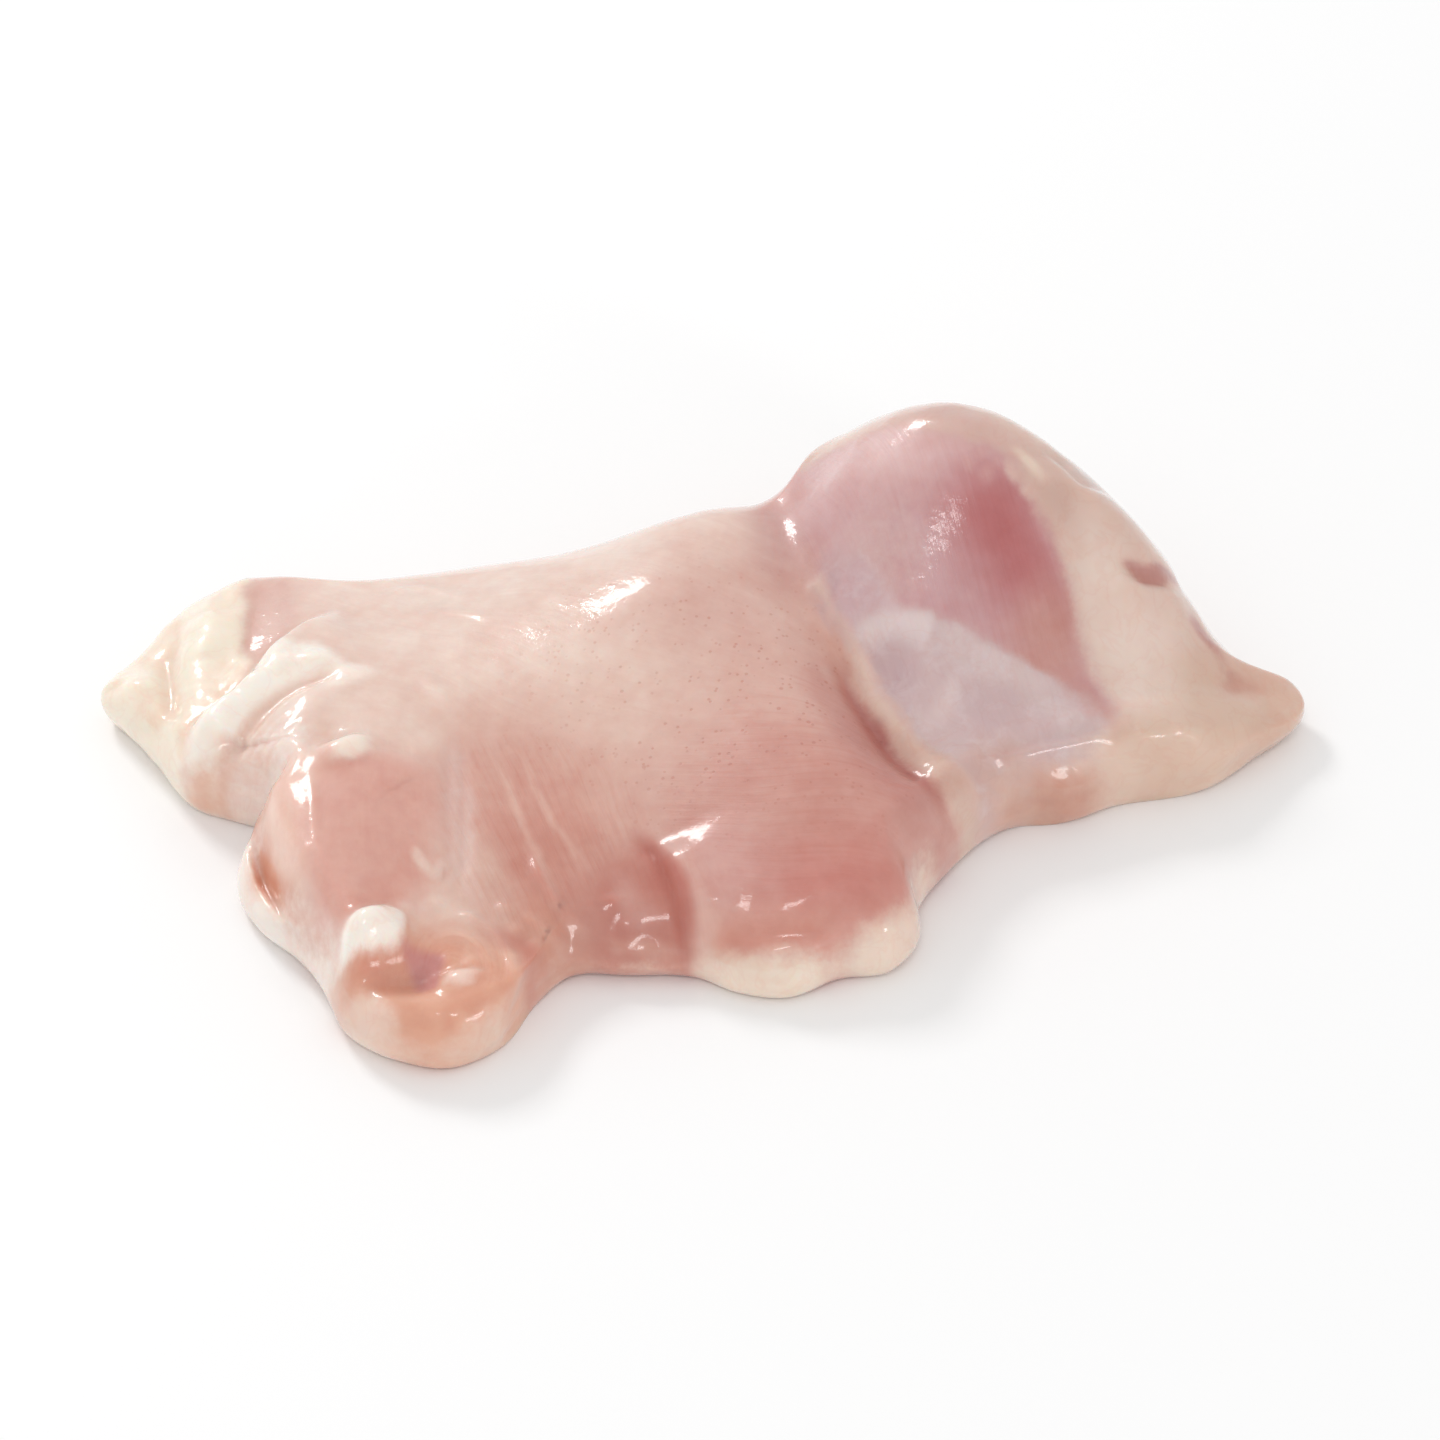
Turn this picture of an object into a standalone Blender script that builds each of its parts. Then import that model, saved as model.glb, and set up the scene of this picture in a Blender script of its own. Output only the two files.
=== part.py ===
# A raw boneless, skinless chicken thigh, opened out and lying on its flat
# underside. The long tapered body of meat lies to the left, the thick rounded
# muscle swells up at the back right, and a thin tip of fat runs out to the right.
# All named sizes are in millimetres and degrees; the mesh is written in metres.

import bpy
import numpy as np

MM = 0.001

# Outline of the piece seen from above, walked anticlockwise from the tail end.
OUTLINE = (
    (-79.3, 10.6), (-76.0, 6.4), (-71.3, 0.6), (-66.8, -6.3), (-61.5, -8.6), (-55.8, -11.6),
    (-58.2, -16.2), (-59.2, -22.0), (-56.2, -28.4), (-50.8, -33.8), (-47.0, -40.0), (-44.2, -46.0),
    (-38.5, -49.8), (-32.0, -51.2), (-26.2, -48.0), (-22.4, -41.2), (-18.3, -36.4), (-10.5, -36.2),
    (-2.5, -36.5), (2.5, -39.0), (8.5, -39.8), (15.0, -36.6), (21.0, -35.4), (24.0, -31.5),
    (24.2, -26.0), (27.5, -20.0), (38.5, -9.4), (44.5, -8.6), (51.0, -5.6), (63.5, -2.2),
    (69.0, 2.4), (74.8, 9.4), (73.6, 12.8), (67.6, 14.2), (63.8, 18.8), (59.6, 26.8),
    (52.5, 36.0), (35.0, 49.6), (26.5, 52.8), (19.0, 50.4), (10.5, 40.8), (-9.0, 37.0),
    (-20.0, 33.4), (-31.0, 32.0), (-54.0, 29.5), (-63.5, 31.0), (-70.0, 26.4), (-75.3, 18.0),
)

# Middle of the piece, which every point of the outline can see.
HUB = (-8.0, -3.0)

# Height of the widest line of the side wall, and how far the wall rolls inwards
# above and below that line: a fixed length and a share of the height.
WALL_HEIGHT = 2.8
TOP_ROLL = (3.0, 1.25)
UNDER_ROLL = (1.2, 0.42)

# Height of the slab of meat before the swells are added.
SLAB_HEIGHT = 9.0

# Lowest step between the side wall's widest line and the top of the meat.
LEAST_CROWN = 1.0

# Swells are soft mounds and hollows:
# name, middle x, middle y, half length, half width, turn, height.
WALL_SWELLS = (
    ("wall behind the hump", 40.0, 46.0, 32.0, 24.0, -35.0, 7.5),
    ("wall behind the body", -14.0, 38.0, 40.0, 15.0, -8.0, 4.0),
    ("wall at the tip", 68.0, 4.0, 16.0, 10.0, 20.0, 1.6),
    ("wall at the tail", -74.0, 14.0, 12.0, 14.0, 0.0, 1.2),
)
TOP_SWELLS = (
    ("body", 0.0, 14.0, 46.0, 26.0, 12.0, 10.0),
    ("hump", 31.0, 31.0, 22.0, 19.0, -22.0, 20.5),
    ("hump shoulder", 52.0, 20.0, 13.0, 11.0, -50.0, 6.0),
    ("left muscle", -43.5, -19.0, 9.5, 14.0, 0.0, 4.0),
    ("small lobe", -57.5, -24.5, 5.5, 10.0, 14.0, -3.6),
    ("left shoulder", -46.0, 4.0, 12.0, 14.0, 0.0, 2.0),
    ("front muscle", 14.0, -16.0, 17.0, 17.0, 0.0, 6.0),
    ("pocket", -9.5, -29.0, 9.0, 9.0, 0.0, -1.2),
    ("thin rim below the pocket", -8.0, -38.0, 15.0, 5.5, 0.0, -4.0),
    ("rim of the front muscle", 9.0, -41.0, 13.0, 5.0, -5.0, -3.5),
    ("front of the flap", 46.0, -9.0, 13.0, 4.0, 15.0, -2.5),
    ("back crest", -3.0, 28.0, 14.0, 9.0, 10.0, 2.5),
    ("crest of the body", -9.0, 13.5, 6.5, 6.0, 30.0, 1.3),
    ("tip", 71.0, 9.0, 9.0, 8.0, 0.0, -4.0),
    ("tail", -73.0, 11.0, 11.0, 15.0, 0.0, -3.0),
    ("bottom lobe", -33.0, -45.5, 10.0, 7.0, 0.0, -0.8),
    ("pit above the lobe", -36.6, -42.0, 5.0, 3.4, 0.0, -1.5),
    ("fat knob", -41.6, -39.0, 4.0, 2.6, 45.0, 2.4),
    ("tail knob", -74.8, 8.0, 3.8, 4.2, 0.0, 2.0),
    ("tail swell", -66.4, 15.0, 4.2, 6.5, -12.0, 1.9),
    ("tail corner", -69.5, -0.5, 3.8, 3.4, 0.0, 1.3),
    ("outer fat roll", -63.4, -3.6, 3.0, 2.8, 60.0, 1.5),
    ("middle fat roll", -59.4, 1.2, 3.2, 2.4, 45.0, 1.3),
    ("inner fat roll", -53.4, 5.6, 3.8, 2.4, 20.0, 1.1),
    ("shoulder knob", -52.4, -10.0, 3.2, 3.8, 10.0, 1.8),
)

# Grooves and ridges run along a path across the top:
# name, half width, rise, share of the path over which each end fades, path.
FURROWS = (
    ("valley beside the hump", 6.5, -4.0, 0.18,
     ((8.0, 40.0), (8.5, 30.0), (11.0, 17.0), (15.0, 7.5), (19.0, -3.0), (24.0, -11.0), (30.0, -16.0))),
    ("crease along the fat seam", 2.8, -1.3, 0.25,
     ((12.0, 14.0), (14.5, 7.0), (17.2, -3.0), (21.0, -10.5), (26.0, -16.5), (32.0, -18.5))),
    ("fat seam", 2.8, 1.3, 0.25,
     ((13.5, 12.0), (17.0, 5.5), (21.2, -3.0), (25.5, -9.5), (31.0, -13.0))),
    ("crease of the fat rolls", 3.0, -1.7, 0.25,
     ((-46.5, 4.0), (-49.6, 2.7), (-53.0, 1.2), (-55.4, -0.6), (-57.6, -3.1), (-59.2, -5.4), (-60.9, -9.0))),
    ("crease under the left muscle", 2.0, -1.5, 0.2,
     ((-58.2, -13.0), (-57.2, -17.5), (-55.9, -22.0), (-54.0, -26.8), (-51.6, -31.6), (-48.6, -36.6),
      (-45.8, -41.5))),
    ("seam of the left muscle", 2.2, -0.8, 0.25,
     ((-34.6, -4.0), (-34.3, -12.0), (-33.6, -20.0), (-33.0, -26.0), (-33.8, -33.0))),
    ("crest of the bottom lobe", 2.8, 0.9, 0.25,
     ((-44.0, -45.0), (-40.5, -47.2), (-36.0, -48.0), (-31.5, -48.0), (-27.5, -46.2), (-25.0, -42.0))),
    ("crest of the right flap", 3.0, 1.0, 0.3,
     ((33.0, -8.5), (41.0, -4.5), (48.0, -1.5), (55.0, 0.0), (64.0, 3.5))),
)

# Folds are steps where one layer of meat or fat lies over the next. The side
# on the left of the path is the upper layer, and it sinks back over the spread:
# name, half width of the step, rise, spread, fading share, path.
FOLDS = (
    ("fat rolls over the tail", 2.0, 2.4, 8.0, 0.22,
     ((-48.0, 19.5), (-53.4, 14.9), (-56.3, 10.5), (-57.8, 8.1), (-60.0, 4.3), (-62.3, 1.8),
      (-65.4, -1.2), (-66.5, -4.0), (-66.3, -7.5))),
    ("left muscle over the small lobe", 1.5, 3.6, 8.0, 0.2,
     ((-57.5, -9.0), (-56.2, -14.0), (-54.8, -19.5), (-52.6, -25.5), (-50.4, -30.6), (-47.3, -36.0),
      (-44.4, -41.0), (-42.0, -45.0))),
    ("front muscle over the pocket", 1.5, 2.2, 7.0, 0.25,
     ((-15.0, -17.0), (-11.5, -19.5), (-8.4, -22.2), (-6.7, -23.9), (-5.5, -26.9), (-4.4, -29.9),
      (-3.1, -33.8), (-0.5, -38.0))),
)

# The ball that becomes the thigh has this many meridians and rings. The shares
# say how far down a meridian the top ends, the upper roll ends and the lower
# roll ends; the rest of the meridian crosses the flat underside.
MERIDIANS = 116
RINGS = 50
TOP_SHARE = 0.6
UPPER_ROLL_SHARE = 0.84
LOWER_ROLL_SHARE = 0.93

# Steps drawn between two neighbouring points of the outline and of a path.
OUTLINE_STEPS = 40
PATH_STEPS = 8

MEAT_COLOUR = (0.73, 0.49, 0.42, 1.0)
MEAT_ROUGHNESS = 0.28


def soft_step(value):
    """0 below zero, 1 above one, and an S-shaped rise between them."""
    held = np.clip(value, 0.0, 1.0)
    return held * held * (3.0 - 2.0 * held)


def outline_curve():
    """Points of a smooth closed curve through the outline's landmarks."""
    here = np.array(OUTLINE)[:, None]
    ahead = np.roll(here, -1, axis=0)
    behind = np.roll(here, 1, axis=0)
    gap = np.linalg.norm(ahead - here, axis=2, keepdims=True)
    gap_behind = np.roll(gap, 1, axis=0)
    slope = (ahead - here) / gap * gap_behind + (here - behind) / gap_behind * gap
    slope = slope / (gap + gap_behind)
    leave = slope * gap
    arrive = np.roll(slope, -1, axis=0) * gap
    f = (np.arange(OUTLINE_STEPS) / OUTLINE_STEPS)[None, :, None]
    curve = here * (2.0 * f**3 - 3.0 * f**2 + 1.0) + ahead * (3.0 * f**2 - 2.0 * f**3)
    curve = curve + leave * (f**3 - 2.0 * f**2 + f) + arrive * (f**3 - f**2)
    return curve.reshape(-1, 2)


def outline_at(share):
    """Plan position at a share of the way round the outline, by length."""
    curve = outline_curve()
    closed = np.vstack([curve, curve[:1]])
    length = np.concatenate([[0.0], np.cumsum(np.linalg.norm(np.diff(closed, axis=0), axis=1))])
    way = length / length[-1]
    return np.interp(share, way, closed[:, 0]), np.interp(share, way, closed[:, 1])


def path_curve(path):
    """Points of a smooth open curve through the path's landmarks."""
    points = np.array(path)
    first = 2.0 * points[0] - points[1]
    last = 2.0 * points[-1] - points[-2]
    p = np.vstack([first, points, last])[:, None]
    f = (np.arange(PATH_STEPS) / PATH_STEPS)[None, :, None]
    a, b, c, d = p[:-3], p[1:-2], p[2:-1], p[3:]
    curve = 2.0 * b + (c - a) * f
    curve = curve + (2.0 * a - 5.0 * b + 4.0 * c - d) * f**2
    curve = curve + (3.0 * b - a - 3.0 * c + d) * f**3
    return np.vstack([0.5 * curve.reshape(-1, 2), points[-1:]])


def beside_path(x, y, path):
    """Distance to the path, positive on its left, and share of the way along."""
    curve = path_curve(path)
    starts = curve[:-1]
    runs = np.diff(curve, axis=0)
    lengths = np.linalg.norm(runs, axis=1)
    passed = np.concatenate([[0.0], np.cumsum(lengths)])
    nearest = np.full(x.shape, np.inf)
    side = np.ones(x.shape)
    way = np.zeros(x.shape)
    for start, run, length, before in zip(starts, runs, lengths, passed):
        from_x = x - start[0]
        from_y = y - start[1]
        share = np.clip((from_x * run[0] + from_y * run[1]) / length**2, 0.0, 1.0)
        away = np.hypot(from_x - share * run[0], from_y - share * run[1])
        closer = away < nearest
        nearest = np.where(closer, away, nearest)
        side = np.where(closer, np.sign(run[0] * from_y - run[1] * from_x), side)
        way = np.where(closer, (before + share * length) / passed[-1], way)
    return nearest * side, way


def end_fade(way, taper):
    """1 along the middle of a path, sinking to 0 at both of its ends."""
    return soft_step(way / taper) * soft_step((1.0 - way) / taper)


def swell(x, y, middle_x, middle_y, half_length, half_width, turn, height):
    """A bell-shaped mound, or a hollow when the height is negative."""
    angle = np.radians(turn)
    u = (x - middle_x) * np.cos(angle) + (y - middle_y) * np.sin(angle)
    v = (y - middle_y) * np.cos(angle) - (x - middle_x) * np.sin(angle)
    return height * np.exp(-(u / half_length) ** 2 - (v / half_width) ** 2)


def wall_height(x, y):
    """Height of the side wall's widest line at a point of the outline."""
    return WALL_HEIGHT + sum(swell(x, y, *shape) for _, *shape in WALL_SWELLS)


def top_height(x, y):
    """Height of the upper surface, away from its rolled rim."""
    z = SLAB_HEIGHT + sum(swell(x, y, *shape) for _, *shape in TOP_SWELLS)
    for _, half_width, rise, taper, path in FURROWS:
        away, way = beside_path(x, y, path)
        z = z + rise * np.exp(-(away / half_width) ** 2) * end_fade(way, taper)
    for _, half_width, rise, spread, taper, path in FOLDS:
        away, way = beside_path(x, y, path)
        layer = 0.5 + 0.5 * np.tanh(away / half_width)
        sinking = np.exp(-(np.maximum(away, 0.0) / spread) ** 2)
        z = z + rise * layer * sinking * end_fade(way, taper)
    return z


def thigh_surface(round_share, down_share):
    """Surface point for a share round the outline and a share from the top's
    middle, over the rim, to the middle of the underside. Each quarter turn of
    the rim is an elliptical roll."""
    rim_x, rim_y = outline_at(round_share)
    wall = wall_height(rim_x, rim_y)
    reach = np.hypot(rim_x - HUB[0], rim_y - HUB[1])
    top_end = 1.0 - (TOP_ROLL[0] + TOP_ROLL[1] * wall) / reach
    foot = 1.0 - (UNDER_ROLL[0] + UNDER_ROLL[1] * wall) / reach
    quarter = 0.5 * np.pi
    over = (down_share - TOP_SHARE) / (UPPER_ROLL_SHARE - TOP_SHARE)
    over = np.clip(over, 0.0, 1.0) * quarter
    below = (LOWER_ROLL_SHARE - down_share) / (LOWER_ROLL_SHARE - UPPER_ROLL_SHARE)
    below = np.clip(below, 0.0, 1.0) * quarter
    out = np.select(
        [down_share <= TOP_SHARE, down_share <= UPPER_ROLL_SHARE, down_share <= LOWER_ROLL_SHARE],
        [top_end * down_share / TOP_SHARE,
         top_end + (1.0 - top_end) * np.sin(over),
         foot + (1.0 - foot) * np.sin(below)],
        foot * (1.0 - down_share) / (1.0 - LOWER_ROLL_SHARE))
    x = HUB[0] + (rim_x - HUB[0]) * out
    y = HUB[1] + (rim_y - HUB[1]) * out
    crown = np.maximum(top_height(x, y), wall + LEAST_CROWN)
    upper = wall + (crown - wall) * np.cos(over)
    lower = wall * (1.0 - np.cos(below))
    return x, y, np.where(down_share <= UPPER_ROLL_SHARE, upper, lower)


def meat_material():
    """Moist pale pink meat."""
    material = bpy.data.materials.new("raw_meat")
    material.use_nodes = True
    shader = material.node_tree.nodes["Principled BSDF"]
    shader.inputs["Base Color"].default_value = MEAT_COLOUR
    shader.inputs["Roughness"].default_value = MEAT_ROUGHNESS
    shader.inputs["Metallic"].default_value = 0.0
    return material


def build_thigh():
    """Press a ball into the thigh's shape and stand it on its flat underside."""
    bpy.ops.mesh.primitive_uv_sphere_add(segments=MERIDIANS, ring_count=RINGS, radius=1.0)
    thigh = bpy.context.object
    thigh.name = "thigh"
    mesh = thigh.data
    mesh.name = "thigh"
    ball = np.empty(len(mesh.vertices) * 3)
    mesh.vertices.foreach_get("co", ball)
    ball = ball.reshape(-1, 3)
    turn = np.arctan2(ball[:, 1], ball[:, 0]) - np.pi
    round_share = np.mod(turn / (2.0 * np.pi), 1.0)
    down_share = np.arccos(np.clip(ball[:, 2], -1.0, 1.0)) / np.pi
    x, y, z = thigh_surface(round_share, down_share)
    x = x - 0.5 * (x.min() + x.max())
    y = y - 0.5 * (y.min() + y.max())
    z = z - z.min()
    mesh.vertices.foreach_set("co", (np.stack([x, y, z], axis=1) * MM).ravel())
    mesh.polygons.foreach_set("use_smooth", np.ones(len(mesh.polygons), dtype=bool))
    mesh.materials.append(meat_material())
    mesh.update()
    return thigh


for item in list(bpy.data.objects):
    bpy.data.objects.remove(item)

thigh = build_thigh()
collection = bpy.data.collections.new("chicken_thigh")
bpy.context.scene.collection.children.link(collection)
for holder in list(thigh.users_collection):
    holder.objects.unlink(thigh)
collection.objects.link(thigh)
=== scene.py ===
# %% [markdown]
# # A raw chicken thigh
#
# The object is one piece of raw meat: a boneless, skinless chicken thigh, opened
# out and lying on its flat underside. It is a single soft body, so it is built as
# a single closed surface, with muscles, folds and fat modelled into it.
#
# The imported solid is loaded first. It is the frame that everything is built
# around, and its box is kept, because the finished piece has to fit inside it.

# %% Load the frame
import bpy
import numpy as np
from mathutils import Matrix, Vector


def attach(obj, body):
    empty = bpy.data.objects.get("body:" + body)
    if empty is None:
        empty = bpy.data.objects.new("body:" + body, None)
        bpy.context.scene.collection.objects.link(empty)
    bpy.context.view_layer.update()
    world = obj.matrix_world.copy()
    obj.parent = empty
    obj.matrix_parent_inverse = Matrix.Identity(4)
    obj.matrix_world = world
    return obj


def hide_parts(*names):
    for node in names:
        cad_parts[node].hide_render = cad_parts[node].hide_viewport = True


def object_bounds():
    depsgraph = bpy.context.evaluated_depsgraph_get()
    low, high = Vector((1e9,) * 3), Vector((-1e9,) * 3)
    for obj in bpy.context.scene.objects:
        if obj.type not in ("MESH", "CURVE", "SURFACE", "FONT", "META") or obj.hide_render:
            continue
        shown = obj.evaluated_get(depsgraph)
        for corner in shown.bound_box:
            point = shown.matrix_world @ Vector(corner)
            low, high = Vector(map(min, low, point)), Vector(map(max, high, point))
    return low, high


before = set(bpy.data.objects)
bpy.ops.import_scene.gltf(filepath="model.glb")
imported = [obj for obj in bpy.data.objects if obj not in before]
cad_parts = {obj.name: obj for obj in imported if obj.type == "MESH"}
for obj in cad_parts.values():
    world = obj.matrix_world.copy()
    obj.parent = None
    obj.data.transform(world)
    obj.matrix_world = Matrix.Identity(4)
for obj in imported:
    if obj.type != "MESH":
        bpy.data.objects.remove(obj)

cad_low, cad_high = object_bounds()
MM = 0.001
print("solid, mm:", [round((b - a) / MM, 1) for a, b in zip(cad_low, cad_high)])

# %% [markdown]
# ## The outline
#
# Seen from above, the thigh has lobes and notches all round. It could be drawn as
# a polygon and rounded, but a smooth closed curve through a few dozen landmarks
# is easier to steer: each landmark is a place that the eye picks out, such as the
# tip of the tail or the bottom of a notch. All sizes are in millimetres.

# %% Landmarks of the outline
OUTLINE = (
    (-79.3, 10.6), (-76.0, 6.4), (-71.3, 0.6), (-66.8, -6.3), (-61.5, -8.6), (-55.8, -11.6),
    (-58.2, -16.2), (-59.2, -22.0), (-56.2, -28.4), (-50.8, -33.8), (-47.0, -40.0), (-44.2, -46.0),
    (-38.5, -49.8), (-32.0, -51.2), (-26.2, -48.0), (-22.4, -41.2), (-18.3, -36.4), (-10.5, -36.2),
    (-2.5, -36.5), (2.5, -39.0), (8.5, -39.8), (15.0, -36.6), (21.0, -35.4), (24.0, -31.5),
    (24.2, -26.0), (27.5, -20.0), (38.5, -9.4), (44.5, -8.6), (51.0, -5.6), (63.5, -2.2),
    (69.0, 2.4), (74.8, 9.4), (73.6, 12.8), (67.6, 14.2), (63.8, 18.8), (59.6, 26.8),
    (52.5, 36.0), (35.0, 49.6), (26.5, 52.8), (19.0, 50.4), (10.5, 40.8), (-9.0, 37.0),
    (-20.0, 33.4), (-31.0, 32.0), (-54.0, 29.5), (-63.5, 31.0), (-70.0, 26.4), (-75.3, 18.0),
)
HUB = (-8.0, -3.0)


def closed_curve(landmarks, steps):
    """Hermite curve through the landmarks: between two of them it is their cubic
    blend, and the slope at each one is the mean of the slopes on both sides,
    weighted by the length of the other side."""
    here = np.array(landmarks)[:, None]
    ahead = np.roll(here, -1, axis=0)
    behind = np.roll(here, 1, axis=0)
    gap = np.linalg.norm(ahead - here, axis=2, keepdims=True)
    gap_behind = np.roll(gap, 1, axis=0)
    slope = (ahead - here) / gap * gap_behind + (here - behind) / gap_behind * gap
    slope = slope / (gap + gap_behind)
    f = (np.arange(steps) / steps)[None, :, None]
    curve = here * (2.0 * f**3 - 3.0 * f**2 + 1.0) + ahead * (3.0 * f**2 - 2.0 * f**3)
    curve = curve + slope * gap * (f**3 - 2.0 * f**2 + f)
    curve = curve + np.roll(slope, -1, axis=0) * gap * (f**3 - f**2)
    return np.vstack([curve.reshape(-1, 2), curve[0, :1]])


def outline_at(share):
    """The outline read by share of its length."""
    curve = closed_curve(OUTLINE, 40)
    length = np.concatenate([[0.0], np.cumsum(np.linalg.norm(np.diff(curve, axis=0), axis=1))])
    way = length / length[-1]
    return np.interp(share, way, curve[:, 0]), np.interp(share, way, curve[:, 1])


print("outline landmarks:", len(OUTLINE))

# %% [markdown]
# ## Soft steps and bells
#
# Two small curves do most of the shaping. A soft step goes from 0 to 1 without a
# corner. A bell is high in the middle and sinks evenly to nothing, longer one way
# than the other. A sum of bells is smooth everywhere, like meat under its skin.

# %% Soft step and bell
def soft_step(value):
    """3v^2 - 2v^3 between 0 and 1, and level outside."""
    held = np.clip(value, 0.0, 1.0)
    return held * held * (3.0 - 2.0 * held)


def turned(x, y, middle_x, middle_y, half_length, half_width, turn):
    """Distances from the middle along an oval's turned axes, over its half sizes."""
    angle = np.radians(turn)
    u = (x - middle_x) * np.cos(angle) + (y - middle_y) * np.sin(angle)
    v = (y - middle_y) * np.cos(angle) - (x - middle_x) * np.sin(angle)
    return u / half_length, v / half_width


def swell(x, y, middle_x, middle_y, half_length, half_width, turn, height):
    """height * exp(-u^2 - v^2), with u and v the turned distances."""
    u, v = turned(x, y, middle_x, middle_y, half_length, half_width, turn)
    return height * np.exp(-u**2 - v**2)


print("soft step at 0, 1/4, 1/2 and 1:", soft_step(np.array([0.0, 0.25, 0.5, 1.0])))

# %% [markdown]
# ## The grid, seen from above
#
# Two numbers place every point. The first goes round the outline. The second
# counts the regions on the way down: 0 to 1 is the top, from its middle out to the
# rim, 1 to 2 is the roll from the top down to the widest line of the wall, 2 to 3
# is the roll under to the board, and 3 to 4 is the flat underside, back to its
# middle. A closed surface like this has no open edge.

# %% Place the grid
WALL_HEIGHT = 2.8
WALL_SWELLS = {
    "wall behind the hump": (40.0, 46.0, 32.0, 24.0, -35.0, 7.5),
    "wall behind the body": (-14.0, 38.0, 40.0, 15.0, -8.0, 4.0),
    "wall at the tip": (68.0, 4.0, 16.0, 10.0, 20.0, 1.6),
    "wall at the tail": (-74.0, 14.0, 12.0, 14.0, 0.0, 1.2),
}
TOP_ROLL = (3.0, 1.25)
UNDER_ROLL = (1.2, 0.42)
MERIDIANS = 600
ROWS = {"top": 126, "upper roll": 26, "lower roll": 8, "underside": 3}


def evened(values, width):
    """A closed line of values blurred by a bell, width steps wide: each of its
    waves, k turns a step, is multiplied by exp(-(k * width)^2 / 2)."""
    waves = np.fft.rfft(values)
    k = 2.0 * np.pi * np.arange(len(waves)) / len(values)
    return np.fft.irfft(waves * np.exp(-0.5 * (k * width) ** 2), len(values))


rim_x, rim_y = outline_at(np.arange(MERIDIANS) / MERIDIANS)
wall = WALL_HEIGHT + sum(swell(rim_x, rim_y, *sizes) for sizes in WALL_SWELLS.values())
reach = np.hypot(rim_x - HUB[0], rim_y - HUB[1])
top_end = 1.0 - (TOP_ROLL[0] + TOP_ROLL[1] * wall) / reach
foot = 1.0 - (UNDER_ROLL[0] + UNDER_ROLL[1] * wall) / reach
edge_x = evened(HUB[0] + (rim_x - HUB[0]) * top_end, 4.0)
edge_y = evened(HUB[1] + (rim_y - HUB[1]) * top_end, 4.0)
regions = [np.linspace(start, start + 1.0, rows, endpoint=False)
           for start, rows in enumerate(ROWS.values())]
share_down = np.append(np.concatenate(regions), 4.0)[:, None] * np.ones(MERIDIANS)
share_round = np.arange(MERIDIANS) / MERIDIANS * np.ones(share_down.shape)
over = np.clip(share_down - 1.0, 0.0, 1.0) * 0.5 * np.pi
below = np.clip(3.0 - share_down, 0.0, 1.0) * 0.5 * np.pi
in_top = np.clip(share_down, 0.0, 1.0)
top_x = HUB[0] + (edge_x - HUB[0]) * in_top + (rim_x - edge_x) * np.sin(over)
top_y = HUB[1] + (edge_y - HUB[1]) * in_top + (rim_y - edge_y) * np.sin(over)
out = np.where(share_down <= 3.0, foot + (1.0 - foot) * np.sin(below), foot * (4.0 - share_down))
plan_x = np.where(share_down <= 2.0, top_x, HUB[0] + (rim_x - HUB[0]) * out)
plan_y = np.where(share_down <= 2.0, top_y, HUB[1] + (rim_y - HUB[1]) * out)
print("grid:", plan_x.shape)

# %% [markdown]
# ## Muscles
#
# Under its membranes a thigh is a few muscles that bulge into one another. Each
# is a bell on a slab, and a negative bell makes a hollow: the pocket at the front,
# the thin rims, and the low flap of meat that peeps out under the left muscle.

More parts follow.
